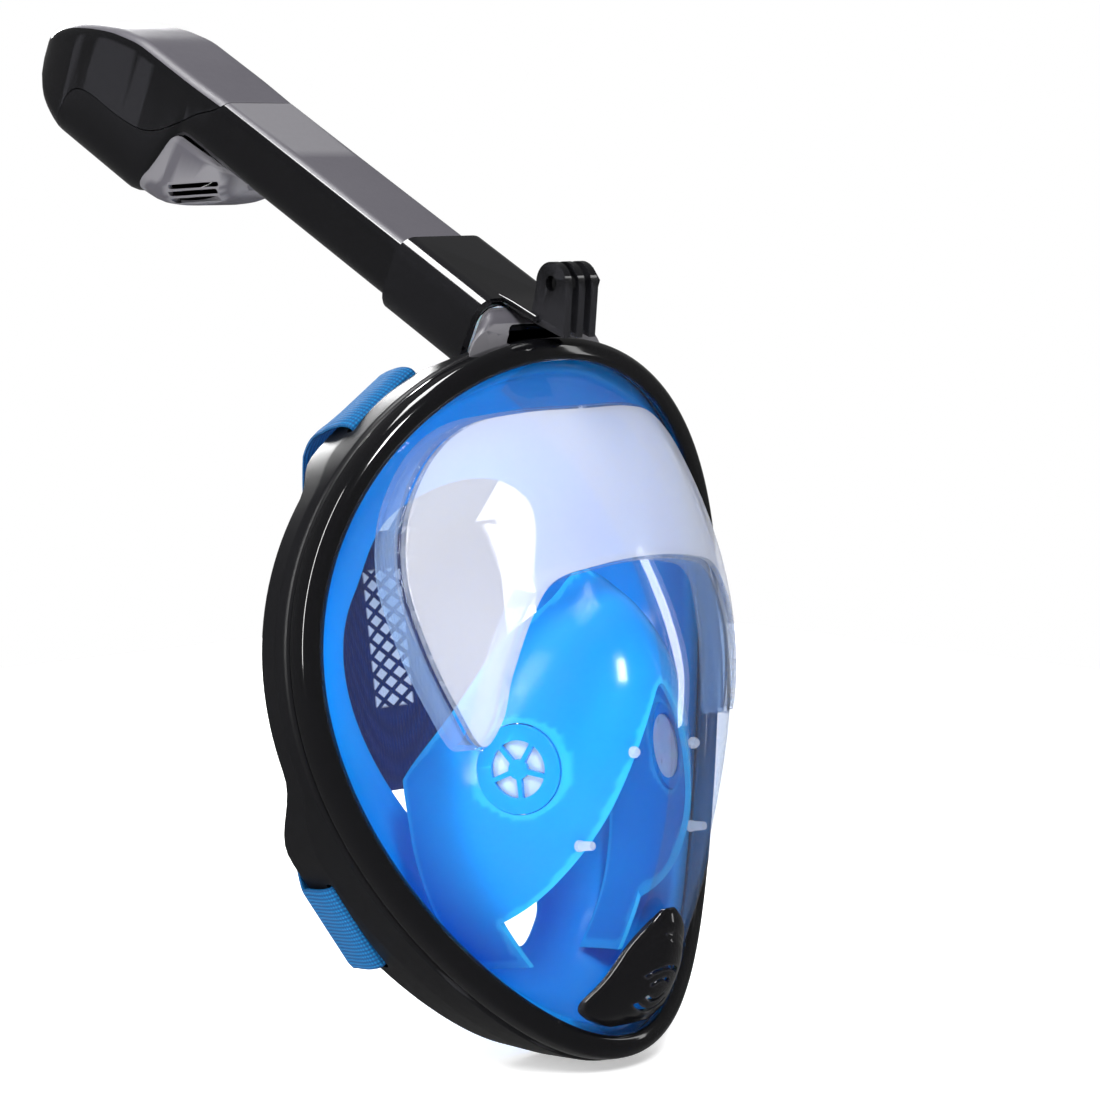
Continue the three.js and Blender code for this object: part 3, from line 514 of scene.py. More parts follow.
def curve_points(points, closed, steps):
    """Points of the centripetal Catmull-Rom curve through the given ones."""
    count = len(points)
    result = []
    for i in range(count if closed else count - 1):
        p1 = points[i]
        p2 = points[(i + 1) % count]
        p0 = points[i - 1] if closed or i > 0 else p1 * 2 - p2
        p3 = points[(i + 2) % count] if closed or i + 2 < count else p2 * 2 - p1
        t1 = math.sqrt((p1 - p0).length)
        t2 = t1 + math.sqrt((p2 - p1).length)
        t3 = t2 + math.sqrt((p3 - p2).length)
        for k in range(steps):
            t = t1 + (t2 - t1) * k / steps
            a1 = p0 * ((t1 - t) / t1) + p1 * (t / t1)
            a2 = p1 * ((t2 - t) / (t2 - t1)) + p2 * ((t - t1) / (t2 - t1))
            a3 = p2 * ((t3 - t) / (t3 - t2)) + p3 * ((t - t2) / (t3 - t2))
            b1 = a1 * ((t2 - t) / t2) + a2 * (t / t2)
            b2 = a2 * ((t3 - t) / (t3 - t1)) + a3 * ((t - t1) / (t3 - t1))
            result.append(b1 * ((t2 - t) / (t2 - t1)) + b2 * ((t - t1) / (t2 - t1)))
    if not closed:
        result.append(points[-1].copy())
    return result


def window_curve():
    left = [Vector((x, 0, z)) for x, z in WINDOW_HALF]
    right = [Vector((-x, 0, z)) for x, z in reversed(WINDOW_HALF[1:-1])]
    return curve_points(left + right, True, 10)


def window_ring(name, section):
    """A ring behind the lens along the window's outline; section lists outward and depth corners."""
    path = window_curve()
    rows = []
    for i, here in enumerate(path):
        tangent = (path[(i + 1) % len(path)] - path[i - 1]).normalized()
        behind = lens_depth(here.x, here.z) + LENS_WALL
        rows.append([Vector((here.x - tangent.z * o, behind + d, here.z + tangent.x * o))
                     for o, d in section])
    return skin(name, rows, wrap_rows=True)


def window_bar():
    """A bar along the depth with the eye window's outline."""
    return prism("window", [(p.x, p.z) for p in window_curve()], (-90, 70), "y")


def make_lens(clear, painted_reflection):
    """The lens in two parts that meet along the eye window's edge: the clear border and the window, whose
    white haze is a painted reflection.
    """
    front = [0.015] + [i / 44 for i in range(2, 45)]
    rows = [[lens_point(a, r, 0) for a in turns(RIM_STEPS)] for r in front]
    edge = rounded([(0.4, 0.05), (2.6, 0.4), (2.6, 3.0), (0.2, 2.9)], 0.5, 3)[4:-4]
    rows += [[rim_point(a, o, d) for a in turns(RIM_STEPS)] for o, d in edge]
    rows += [[lens_point(a, r, LENS_WALL) for a in turns(RIM_STEPS)] for r in reversed(front) if r < 0.985]
    window = skin("lens_window", rows, capped=True)
    carve(window, [window_bar()], "INTERSECT")
    border = skin("lens_border", rows, capped=True)
    carve(border, [disc("port", 10.9, 30, purge_place(0)), window_bar()])
    for part, nodes, material in ((border, ["lens"], clear), (window, [], painted_reflection)):
        shade(part, 40)
        dress(part, "mask", nodes, "clear_lens", material)


def make_window_rib(material):
    """The clear rib moulded behind the lens round the eye window, which the eye seal grips."""
    section = rounded([(-1.5, -0.3), (1.5, -0.3), (1.3, 2.2), (-1.3, 2.2)], 0.4, 3)
    rib = shade(window_ring("lens_window_rib", section), 50)
    dress(rib, "mask", [], "clear_lens", material)


def make_front_rim(material):
    corners = [(0.2, -0.6), (0.3, -2.8), (2.2, -4), (6, -3.8), (8.4, -1.6), (9, 2), (9, 5.5), (3, 5.5),
               (3, 0)]
    section = rounded(corners, 1.1, 4)
    rim = shade(ring("front_rim_moulding", lambda angle: section), 50)
    dress(rim, "mask", ["front_rim"], "gloss_black", material)


def outer_face(angle, gap):
    """The frame's outer face from front to rear, with a gap round it."""
    depth = frame_depth(angle)
    middle = depth * 0.55
    return [(FRAME_OUTER - 0.9 + gap, FRAME_FRONT), (FRAME_OUTER + gap, FRAME_FRONT + 1.6),
            (frame_outward(middle) + 0.6 + gap, middle), (frame_outward(depth) + gap, depth + gap)]


def frame_section(angle):
    depth = frame_depth(angle)
    middle = depth * 0.55
    corners = [(-0.5, FRAME_FRONT), *outer_face(angle, 0), (frame_outward(depth) - FRAME_WALL, depth),
               (frame_outward(middle) - FRAME_WALL, middle), (FRAME_OUTER - FRAME_WALL - 0.4, 9), (-0.5, 9)]
    return rounded(corners, 0.9, 3)


def slot_cutter(angle, depth):
    """A round-ended slot through the frame's wall for one strap."""
    along, outward, back = wall_axes(angle)
    centre = rim_point(angle, frame_outward(depth), depth)
    rows = []
    for o in (-11, 9):
        outline = rounded([(-19.5, -2.3), (19.5, -2.3), (19.5, 2.3), (-19.5, 2.3)], 2.2, 4)
        rows.append([centre + along * a + outward * o + back * b for a, b in outline])
    return skin("slot", rows, capped=True)


def box_loft(name, stations):
    """A solid through rounded sections: (z, half width, top, bottom, corner) in the tube's frame."""
    rows = [[Vector((x, -t, z)) for x, t in oblong(w, top, bottom, corner)]
            for z, w, top, bottom, corner in stations]
    return skin(name, rows, capped=True, place=TUBE_FRAME)


def bar(name, ends, *section):
    """A solid along the tube with one section from end to end."""
    return box_loft(name, [(z, *section) for z in ends])


def tube_bar(name, ends, margin, corner=TUBE_CORNERS):
    """A solid along the tube whose section is the tube's, grown by margin all round."""
    depth = TUBE_HALF_DEPTH + margin
    return bar(name, ends, TUBE_HALF_WIDTH + margin, depth, -depth, corner)


def oblong(half_width, top, bottom, corner):
    """A rounded box outline; corner is one radius, or one for the top and one for the bottom."""
    upper, lower = corner if isinstance(corner, tuple) else (corner, corner)
    result = []
    for index, (sx, sy) in enumerate([(1, 1), (-1, 1), (-1, -1), (1, -1)]):
        r = min(upper if sy > 0 else lower, (top - bottom) / 2 - 0.2, half_width - 0.2)
        cy = top - r if sy > 0 else bottom + r
        for i in range(CORNER_STEPS + 1):
            a = (index + i / CORNER_STEPS) * PI / 2
            result.append((sx * (half_width - r) + r * math.cos(a), cy + r * math.sin(a)))
    return result


def crown_bore():
    return tube_bar("bore", (-34, 30), -TUBE_WALL, 6)


def make_rear_frame(material):
    """The frame behind the lens, with a strap slot in each of its four lugs."""
    shell = ring("rear_frame_moulding", frame_section)
    cutters = [crown_bore()]
    for angle, depth in LUGS.values():
        cutters.append(slot_cutter(angle, depth))
        cutters.append(slot_cutter(2 * PI - angle, depth))
    carve(shell, cutters)
    soften(shell, 0.35, 48, 2)
    dress(shell, "mask", ["rear_frame"], "satin_black", material)


def make_socket(material):
    """The socket that holds the tube: a saddle over the frame's crown that hooks behind it."""
    gap = 0.1
    flare = [(-12, 33, 5, -6, 4.5), (-10, 31.7, 6.4, -7.2, 5), (-8, 30.3, 7.8, -8.2, 5.5),
             (-6, 28.7, 9, -9.1, 6), (-4, 26.4, 10.1, -10.3, 6.5), (-2, 23.8, 11, -11.3, 7),
             (0, 21.4, 11.6, -12, (5.5, 7.5)), (2, 19.2, 11.9, -12, TUBE_CORNERS)]
    neck = [(z, TUBE_HALF_WIDTH, TUBE_HALF_DEPTH, -TUBE_HALF_DEPTH, TUBE_CORNERS) for z in (3, 3.8)]
    socket = box_loft("tube_socket_moulding", flare + neck)
    ahead = ring("ahead", lambda angle: [(-20, -30), (30, -30), (30, FRAME_FRONT), (-20, FRAME_FRONT)])

    def crown_profile(angle):
        face = outer_face(angle, gap)
        return [(-20, FRAME_FRONT - 1), (face[0][0], FRAME_FRONT - 1), *face, (-20, face[-1][1])]

    carve(socket, [ahead, ring("crown", crown_profile), crown_bore()])
    soften(socket, 0.4, 45, 2)
    dress(socket, "mask", ["tube_socket"], "satin_grey", material)


# ---- Tube and dry top ----
HEAD_START = 150
HEAD_END = 285
HEAD_WALL = 2.4
HEAD_TOP = [(HEAD_START, 12), (222, 12), (238, 9), (250, 5), (262, 0), (274, -7), (282, -13),
            (HEAD_END, -18)]
HEAD_WIDTH = [(HEAD_START, 18), (185, 20), (262, 20), (274, 18.5), (281, 15), (HEAD_END, 9)]
HEAD_BOTTOM = [(HEAD_START, -12), (186, -12), (191, -26), (196, -38), (203, -44), (206, -45), (258, -45),
               (270, -41), (278, -34), (283, -27), (HEAD_END, -22)]


def eased(table, at, reach):
    """station() with its corners smoothed over reach millimetres each way."""
    return sum(station(table, at + reach * k / 3) for k in range(-3, 4)) / 7


def head_body(name, inset):
    """The dry-top head, or with an inset the hollow inside it, which starts 20 mm further up."""
    stations = []
    z = HEAD_START if inset <= 0 else HEAD_START + 20
    while z <= HEAD_END - max(inset, 0):
        reach = min(4, HEAD_END - z)
        half = eased(HEAD_WIDTH, z, reach) - inset
        top = eased(HEAD_TOP, z, reach) - inset
        bottom = eased(HEAD_BOTTOM, z, min(2.5, reach)) + inset
        corners = (5.5 - inset * 0.5, 9 - inset)
        stations.append((z, half, top, bottom, corners))
        z += 3
    return box_loft(name, stations)


def seam_prism(gap):
    """Everything on the tube's side of the cap's parting line."""
    line = [(166, 16), (167, 10), (177, 2), (187, -7), (196, -14), (205, -18), (219, -20), (244, -20.5),
            (251, -23.5), (255, -30), (256, -52)]
    smooth_line = curve_points([Vector((z - gap, n - gap, 0)) for z, n in line], False, 6)
    area = [(p.x, p.y) for p in smooth_line] + [(-20, -56), (-20, 16 - gap)]
    return prism("seam", [(-n, z) for z, n in area], (-40, 40), "x", TUBE_FRAME)


def paint_by_side(obj, upper_share, lower_edge):
    """Slot 1 takes the faces that look forward and up from the tube, slot 0 the rest."""
    inverse = TUBE_FRAME.inverted()
    turn = inverse.to_3x3()
    for face in obj.data.polygons:
        normal = turn @ face.normal
        centre = inverse @ face.center / MM
        if -normal.y > upper_share and -centre.y > lower_edge:
            face.material_index = 1


def make_tube(black, grey):
    """The tube with its narrower foot and the lower part of the head, split at the cap's parting line."""
    start = 6
    widths = [(start, TUBE_HALF_WIDTH), (60, TUBE_HALF_WIDTH), (120, TUBE_HALF_WIDTH), (176, 18.4)]
    barrel = box_loft("tube_moulding", [(z, half, TUBE_HALF_DEPTH, -TUBE_HALF_DEPTH, TUBE_CORNERS)
                                        for z, half in widths])
    carve(barrel, [head_body("housing", 0)], "UNION")
    carve(barrel, [seam_prism(0.3)], "INTERSECT")
    carve(barrel, [tube_bar("spigot", (start - 11, start + 3), -2.6, 6)], "UNION")
    bore = tube_bar("bore", (start + 4, 180), -TUBE_WALL, 5.8)
    foot_bore = tube_bar("foot_bore", (-20, start + 6), -4.4, 4)
    passage = bar("passage", (180, 206), 11, -19, -37, 4)
    carve(barrel, [bore, foot_bore, head_body("hollow", HEAD_WALL), passage])
    soften(barrel, 0.3, 50, 2)
    dress(barrel, "snorkel", ["snorkel_tube"], "gloss_black", black, grey)
    paint_by_side(barrel, 0.80, 9.5)


def make_cap(grey, black):
    cap = head_body("dry_top_shell", 0)
    carve(cap, [head_body("hollow", HEAD_WALL), seam_prism(0)])
    soften(cap, 0.35, 50, 2)
    dress(cap, "snorkel", ["dry_top_cap"], "satin_grey", black, grey)
    paint_by_side(cap, 0.62, -26)


def make_grille(material):
    """The vented cover in the corner under the head, with three vents along each side."""
    drops = [(HEAD_START, 3), (154, 9), (162, 16), (172, 22), (182, 27), (190, 30), (201, 31)]
    widths = [(HEAD_START, 8), (158, 14), (170, 17.5), (190, 19), (201, 19.2)]
    clearance = 0.3
    under = TUBE_HALF_DEPTH + 0.4

    def shell(name, start, count, top, inset):
        places = [start + 3 * i for i in range(count)]
        return box_loft(name, [(z, eased(widths, z, 3) - inset, top,
                                -under - eased(drops, z, 3) + inset, (3, 10 - inset)) for z in places])

    grille = shell("intake_grille_moulding", HEAD_START, 18, -11, 0)
    cutters = [shell("hollow", HEAD_START + 7, 17, -6, 2)]
    slope = Matrix.Rotation(-29.7 * DEG, 4, "X")
    vent = rounded([(-0.9, -13), (0.9, -13), (0.9, 13), (-0.9, 13)], 0.85, 4)
    middle = 171
    for above in (2.6, 5.6, 8.6):
        centre = Vector((0, under + station(drops, middle) - above, middle))
        place = TUBE_FRAME @ Matrix.Translation(centre * MM) @ slope
        for side in (-1, 1):
            cutters.append(prism("vent", vent, (side * 10, side * 30), "x", place))
    cutters.append(tube_bar("clear", (100, 240), clearance))
    cutters.append(head_body("housing", -clearance))
    carve(grille, cutters)
    soften(grille, 0.45, 40, 2)
    dress(grille, "snorkel", ["intake_grille"], "satin_grey", material)


def disc(name, radius, height, place, edge=0.4):
    """A round plate on the place's Y axis, its rims rounded."""
    half = height / 2
    rows = []
    for r, y in rounded([(0.02, -half), (radius, -half), (radius, half), (0.02, half)], edge, 3)[4:-4]:
        rows.append([Vector((r * math.cos(a), y, r * math.sin(a))) for a in turns(64)])
    return skin(name, rows, capped=True, place=place)


def facing(here, normal, out):
    """A place in the mask's frame at a point in millimetres, its Y axis along normal."""
    turn = Vector((0, 1, 0)).rotation_difference(normal).to_matrix().to_4x4()
    return MASK @ Matrix.Translation((here + normal * out) * MM) @ turn


PURGE_Z = -98


def purge_place(out):
    """The middle of the purge valve on the lens at the chin, moved out along its face."""
    here = Vector((0, lens_depth(0, PURGE_Z) + LENS_WALL / 2, PURGE_Z))
    slope = lens_depth(0, PURGE_Z - 1) - lens_depth(0, PURGE_Z + 1)
    return facing(here, Vector((0, -1, -slope / 2)).normalized(), out)


# ---- Camera clip ----
CLEVIS_Y = -10.6
CLEVIS_Z = 144.5
CLEVIS_BASE = 129.5
PRONG_RADIUS = 7.5
PRONG_THICKNESS = 3
PRONG_PITCH = 6.1


def cross_bar(name, radius, sides, x, length):
    """A round or six-sided bar across the clevis."""
    outline = [(CLEVIS_Y + radius * math.cos(a), CLEVIS_Z + radius * math.sin(a)) for a in turns(sides)]
    return prism(name, outline, (x - length / 2, x + length / 2), "x")


def clevis_prong(x):
    y = CLEVIS_Y
    outline = [(y - 3.4, CLEVIS_BASE - 4.5), (y + 12.5, CLEVIS_BASE + 3.6), (y + PRONG_RADIUS, CLEVIS_Z)]
    for a in turns(40)[1:21]:
        outline.append((y + PRONG_RADIUS * math.cos(a), CLEVIS_Z + PRONG_RADIUS * math.sin(a)))
    outline.append((y - PRONG_RADIUS, CLEVIS_Z - 3))
    return prism("prong", outline, (x - PRONG_THICKNESS / 2, x + PRONG_THICKNESS / 2), "x")


def make_clip(material):
    """The C-shaped saddle on the tube, with an arm ahead of its round mouth that carries the clevis."""
    clip = tube_bar("camera_clip_moulding", (4.5, 51), 3.4, (7.5, 11))
    carve(clip, [tube_bar("inside", (-40, 100), 0.4), bar("open_side", (-20, 120), 30, -12.5, -52.5, 1)])
    mouth = [(15 * math.cos(a), 0.5 + 15 * math.sin(a)) for a in turns(48)]
    carve(clip, [prism("mouth", mouth, (-14, 17), "y", TUBE_FRAME)])
    lines = [(-12.5, 17.6, 14.6), (0, 16.6, 13.8), (10.5, 15.3, 12.8)]
    arm = box_loft("arm", [(z, 9.6, top, bottom, 1.2) for z, top, bottom in lines])
    prongs = [clevis_prong(k * PRONG_PITCH) for k in (-1, 0, 1)]
    carve(clip, [arm, *prongs, cross_bar("nut", 5.6, 6, 9.1, 3.4)], "UNION")
    carve(clip, [cross_bar("bore", 2.7, 40, 0, 40), cross_bar("hex", 4.1, 6, 9.7, 5)])
    soften(clip, 0.45, 40, 3)
    dress(clip, "camera_mount", ["camera_clip"], "satin_black", material)


# ---- Silicone: skirt, eye seal and breathing pocket ----
def skirt_section(angle):
    """The face lip reaches furthest in at the cheeks and temples, and least at the chin."""
    t = from_crown(angle) / DEG
    lip = -30 - (7 + 8 * smooth(t, 30, 60)) * (1 - smooth(t, 124, 150))
    bend = lip * 0.42 + 0.6
    shallow = 1 - 0.18 * math.sin(angle) ** 2
    corners = [(2.8, 3.5), (2.8, 5.3), (-1.4, 5.5), (-2.6, 18), (-6, 32), (bend, 44), (lip * 0.7, 50),
               (lip, 50), (lip, 48.2), (lip * 0.7 - 0.6, 47.8), (bend - 1.8, 42.4), (-8.2, 31), (-4.8, 18),
               (-3.4, 3.5)]
    return rounded([(o, 6 + (d - 6) * shallow if d > 6 else d) for o, d in corners], 3.2, 5)


def make_skirt(material):
    skirt = shade(ring("face_skirt_silicone", skirt_section), 60)
    dress(skirt, "mask", ["face_skirt"], "blue_silicone", material)


def make_eye_seal(material):
    section = rounded([(-0.9, 0), (0.9, 0), (1.2, 10), (-1.2, 10)], 0.5, 3)
    seal = window_ring("eye_seal_silicone", [(o, d + 2.6) for o, d in section])
    shade(seal, 60)
    dress(seal, "mask", ["eye_seal"], "blue_silicone", material)


POCKET_BOTTOM = -92
POCKET_TOP = 45
POCKET_WIDTH = [(POCKET_BOTTOM, 27), (-84, 34), (-70, 43), (-50, 49), (-20, 51), (5, 45), (25, 36), (38, 24),
                (POCKET_TOP, 11)]
POCKET_FRONT = [(POCKET_BOTTOM, -12), (-84, -16), (-70, -24), (-40, -34.5), (-10, -38), (10, -36),
                (26, -28), (38, -17), (POCKET_TOP, -6)]
POCKET_BACK = 45
POCKET_WALL = 2.2
VALVE_X = 38
VALVE_Z = -21
FLAP_THICKNESS = 0.8


def pocket_reach(z):
    """How far the levels' corners are smoothed, less towards the pocket's two ends."""
    return max(0.3, min(7, z - POCKET_BOTTOM, POCKET_TOP - z))


def pocket_point(turn, z, inset):
    """A point of the pocket's wall at a level; turn runs from -90 to 90 degrees round its front."""
    width = eased(POCKET_WIDTH, z, pocket_reach(z)) - inset
    front = eased(POCKET_FRONT, z, pocket_reach(z)) + inset
    reach = POCKET_BACK - front
    return Vector((width * math.sin(turn), POCKET_BACK - reach * max(0, math.cos(turn)) ** 1.4, z))


def valve_place(side, out):
    """The middle of a pocket valve in the pocket's wall, moved out along its face."""
    turn = math.asin(VALVE_X / station(POCKET_WIDTH, VALVE_Z)) * side
    here = pocket_point(turn, VALVE_Z, POCKET_WALL / 2)
    ahead = pocket_point(turn + 0.1, VALVE_Z, 0) - pocket_point(turn - 0.1, VALVE_Z, 0)
    return facing(here, Vector((ahead.y, -ahead.x, 0)).normalized(), out)


def make_pocket(material):
    """The cup over the nose and mouth, arched open at the chin, its rear edge sloping up to the nose."""

    def corner(z, share, front):
        point = pocket_point(share * PI / 2, z, 0 if front else POCKET_WALL)
        if z == levels[-1] and not front:
            point.z -= POCKET_WALL
        return point

    levels = [POCKET_BOTTOM + (POCKET_TOP - POCKET_BOTTOM) * i / 68 for i in range(69)]
    pocket = skin("breathing_pocket_silicone", two_faced(levels, 72, corner), capped=True)
    half_arch = [(44.5, -100), (24, -49.5), (4.6, -2.5)]
    arch = half_arch + [(0, 3.4)] + [(-x, z) for x, z in reversed(half_arch)]
    mouth = prism("mouth", curve_points([Vector(p) for p in arch], False, 8), (-70, 20), "y")
    slope = [(60, -38), (45, -22), (22, 3), (9, 24), (-2, 36), (-2, 60)]
    edge = curve_points([Vector(p) for p in slope], False, 6) + [(60, 60)]
    holes = [disc("hole", 15.8, 14, valve_place(side, 0), 0.05) for side in (1, -1)]
    carve(pocket, [mouth, prism("behind_nose", edge, (-70, 70), "x")] + holes)
    soften(pocket, 0.7, 50, 3)
    dress(pocket, "mask", ["breathing_pocket"], "blue_silicone", material)


def spoked_seat(name, radius, window, hub, spoke, spokes, thickness, place):
    """The seat of a one-way valve: a ring, a hub and spokes."""
    seat = disc(name, radius, thickness, place, 0.35)
    cutters = []
    for i in range(spokes):
        middle = i / spokes * 2 * PI + PI / 2
        outer = PI / spokes - spoke / window / 2
        inner = PI / spokes - spoke / hub / 2.4
        arc = [(window, middle - outer + 2 * outer * k / 10) for k in range(11)]
        arc += [(hub + 0.9, middle + inner - 2 * inner * k / 4) for k in range(5)]
        outline = rounded([(r * math.cos(a), r * math.sin(a)) for r, a in arc], 0.5, 3)
        cutters.append(prism("window", outline, (-2 * thickness, 2 * thickness), "y", place))
    carve(seat, cutters)
    return soften(seat, 0.25, 50, 2)


def make_valves(silicone, rubber, clear, black):
    for side, name in ((1, "left"), (-1, "right")):
        here = valve_place(side, 0)
        seat = spoked_seat(f"pocket_valve_wheel_{name}", 15.5, 10, 2.6, 1.6, 5, POCKET_WALL, here)
        dress(seat, "mask", [f"pocket_valve_seat_{name}"], "blue_silicone", silicone)
        behind = valve_place(side, -POCKET_WALL / 2 - FLAP_THICKNESS)
        flap = shade(disc(f"pocket_valve_disc_{name}", 11.4, FLAP_THICKNESS, behind, 0.25))
        dress(flap, f"pocket_flap_{name}", [f"pocket_valve_flap_{name}"], "valve_rubber", rubber)
        for level, z in (("upper", -18.7), ("lower", -49)):
            pin = pocket_pin(f"clear_pin_{level}_{name}", side, z)
            dress(pin, "mask", [f"pocket_pin_{level}_{name}"], "clear_pin", clear)
    seat = spoked_seat("purge_valve_spokes", 10.6, 8, 2, 1.4, 4, LENS_WALL, purge_place(0))
    dress(seat, "mask", ["purge_valve_seat"], "satin_black", black)
    ahead = purge_place(LENS_WALL / 2 + FLAP_THICKNESS)
    membrane = shade(disc("purge_disc", 9, FLAP_THICKNESS, ahead, 0.25))
    dress(membrane, "purge_flap", ["purge_membrane"], "valve_rubber", rubber)


def pocket_pin(name, side, z):
    """A clear stub between the lens and the pocket, with a collar at its foot."""
    x = side * ((8 - z) * 0.42 + 3.2)
    foot = pocket_point(math.asin(x / station(POCKET_WIDTH, z)), z, 0)
    tip = lens_depth(x, z) + LENS_WALL + 1.8
    rear = foot.y - 2
    profile = [(0.05, tip), (1.3, tip), (1.5, tip + 0.4), (1.7, rear - 1.4), (2, rear - 1.2), (2, rear),
               (0.05, rear)]
    rows = [[Vector((x + r * math.cos(a), y, z + r * math.sin(a))) for a in turns(24)] for r, y in profile]
    return shade(skin(name, rows, capped=True), 45)


# ---- Purge cover ----
COVER_BOTTOM = -114.5
COVER_TOP = -74
COVER_WIDTH = [(COVER_BOTTOM, 9), (-112.5, 15), (-109, 20), (-106, 22.5), (-103, 21.5), (-98, 18),
               (-92, 15.5), (-86, 13.5), (-80, 9.5), (-76, 5), (COVER_TOP, 2)]


def cover_half(z):
    return eased(COVER_WIDTH, z, max(0.1, min(2.4, z - COVER_BOTTOM, COVER_TOP - z)))


def cover_lift(x, z):
    """How far the cover stands off: a low shield, a dome over the valve and a groove round the dome."""
    half = cover_half(z) + 0.01
    side = max(0, 1 - (x / half) ** 2) ** 0.5
    ends = smooth(z, -115, -109.5) * (1 - smooth(z, -82, -73.5))
    from_valve = math.hypot(x, z - PURGE_Z)
    dome = max(0, 1 - (from_valve / 15) ** 2) ** 0.7
    groove = 0.5 * math.exp(-((from_valve - 13.2) / 0.7) ** 2)
    return 3.2 * side * ends + 3.6 * dome - groove * ends


def make_purge_cover(material):
    """The glossy shield over the purge valve, with four curved slots through its dome."""

    def corner(z, share, front):
        x = cover_half(z) * share
        lift = cover_lift(x, z)
        out = 2.4 + lift if front else 0.5 + lift * 0.95
        return Vector((x, lens_depth(x, z) - out, z))

    levels = [COVER_BOTTOM + (COVER_TOP - COVER_BOTTOM) * i / 90 for i in range(91)]
    cover = skin("purge_cover_moulding", two_faced(levels, 56, corner), capped=True)
    cutters = []
    for radius, width, span in ((4.6, 1.5, 62), (9.2, 1.7, 52)):
        for middle in (90, -90):
            arc = [(radius + width / 2, middle + span * k / 8) for k in range(-8, 9)]
            arc += [(radius - width / 2, middle - span * k / 8) for k in range(-8, 9)]
            outline = rounded([(r * math.cos(a * DEG), r * math.sin(a * DEG)) for r, a in arc], 0.6, 3)
            cutters.append(prism("slot", outline, (0, 30), "y", purge_place(0)))
    carve(cover, cutters)
    soften(cover, 0.3, 48, 3)
    dress(cover, "mask", ["purge_cover"], "gloss_black", material)


# ---- Head harness ----
PAD_Y = 106
PAD_HALF = 44
PAD_BOTTOM = -30
PAD_TOP = 66
PAD_CURVE = 18


def ribbon(name, points, widths):
    """A strap through points and its length; widths holds the direction of its width at each point."""
    per = 8
    path = curve_points(points, False, per)
    columns = [i / 16 - 0.5 for i in range(17)]
    loop = [(c, -0.5) for c in columns] + [(c, 0.5) for c in reversed(columns)]
    rows = []
    length = 0.0
    lengths = []
    for i, here in enumerate(path):
        at = i / per
        index = min(len(widths) - 2, int(at))
        across = widths[index].lerp(widths[index + 1], at - index).normalized()
        tangent = (path[min(i + 1, len(path) - 1)] - path[max(i - 1, 0)]).normalized()
        normal = tangent.cross(across).normalized()
        if i:
            length += (here - path[i - 1]).length
        lengths.append(length)
        row = []
        for c, side in loop:
            thin = 1 - 0.55 * smooth(abs(c), 0.475, 0.5)
            row.append(here + across * (c * STRAP_WIDTH) + normal * (side * STRAP_THICKNESS * thin))
        rows.append(row)
    strap = skin(name, rows, capped=True)
    lay_threads(strap, rows, [c * STRAP_WIDTH * MM for c, side in loop], lengths)
    return shade(strap, 60), length


def lay_threads(obj, rows, across, lengths):
    """Stores each point's place across and along the strap, in metres, for the weave."""
    where = {}
    for row, along in zip(rows, lengths):
        for point, over in zip(row, across):
            key = tuple(round(v, 6) for v in MASK @ (point * MM))
            where[key] = (over, along * MM)
    weave = obj.data.attributes.new("thread", "FLOAT_VECTOR", "POINT")
    for vertex in obj.data.vertices:
        over, along = where.get(tuple(round(v, 6) for v in vertex.co), (0, 0))
        weave.data[vertex.index].vector = (over, along, 0)


def pad_depth(x):
    return PAD_Y - PAD_CURVE * (x / PAD_HALF) ** 2


def strap_path(lug, side):
    """A strap's points and width directions: folded through its slot, then back to the panel."""
    base, slot_depth = LUGS[lug]
    angle = base if side > 0 else 2 * PI - base
    along = wall_axes(angle)[0]
    rear = frame_depth(angle)
    face = frame_outward(rear)
    off = STRAP_THICKNESS / 2 + 0.7
    inner = face - FRAME_WALL - off - 2
    stops = [(inner - 2, rear + 16), (inner - 1, rear + 4), (inner + 0.1, slot_depth + 3.5),
             (inner + 2, slot_depth), (face + off * 0.6, slot_depth), (face + off + 0.9, slot_depth + 3.5),
             (face + off + 0.5, rear + 0.5), (face + off - 0.6, rear + 5)]
    points = [rim_point(angle, o, d) for o, d in stops]
    widths = [along * side] * len(stops)
    if lug == "upper":
        x = PAD_HALF - STRAP_WIDTH / 2 - 4
        points += [Vector((side * 37, 76, 98)), Vector((side * x, pad_depth(x) + 1.8, PAD_TOP - 4))]
        widths += [Vector((side, 0, -0.2)), Vector((side, -0.25, 0))]
    else:
        x = PAD_HALF + 1
        points += [Vector((side * 66, 80, -34)),
                   Vector((side * x, pad_depth(x), PAD_BOTTOM + STRAP_WIDTH / 2))]
        widths += [Vector((-side * 0.35, 0, -0.9)), Vector((0, 0, -1))]
    return points, widths


def make_straps(material):
    for lug in LUGS:
        for side, name in ((1, "left"), (-1, "right")):
            points, widths = strap_path(lug, side)
            strap, length = ribbon(f"{lug}_webbing_{name}", points, widths)
            dress(strap, "mask", [f"{lug}_strap_{name}"], "blue_webbing", material)


def make_pad(material):
    """The wide elastic panel at the back of the head, its border bound and a little thicker."""

    def corner(z, share, front):
        x = PAD_HALF * share
        edge = min(PAD_HALF - abs(x), z - PAD_BOTTOM, PAD_TOP - z)
        half = 0.85 + 0.35 * (1 - smooth(edge, 3.2, 4.6)) - 0.5 * (1 - smooth(edge, 0, 0.9))
        return Vector((x, pad_depth(x) + (-half if front else half), z))

    levels = [PAD_BOTTOM + (PAD_TOP - PAD_BOTTOM) * i / 56 for i in range(57)]
    pad = shade(skin("back_panel", two_faced(levels, 48, corner), capped=True), 60)
    dress(pad, "mask", ["back_pad"], "blue_webbing", material)


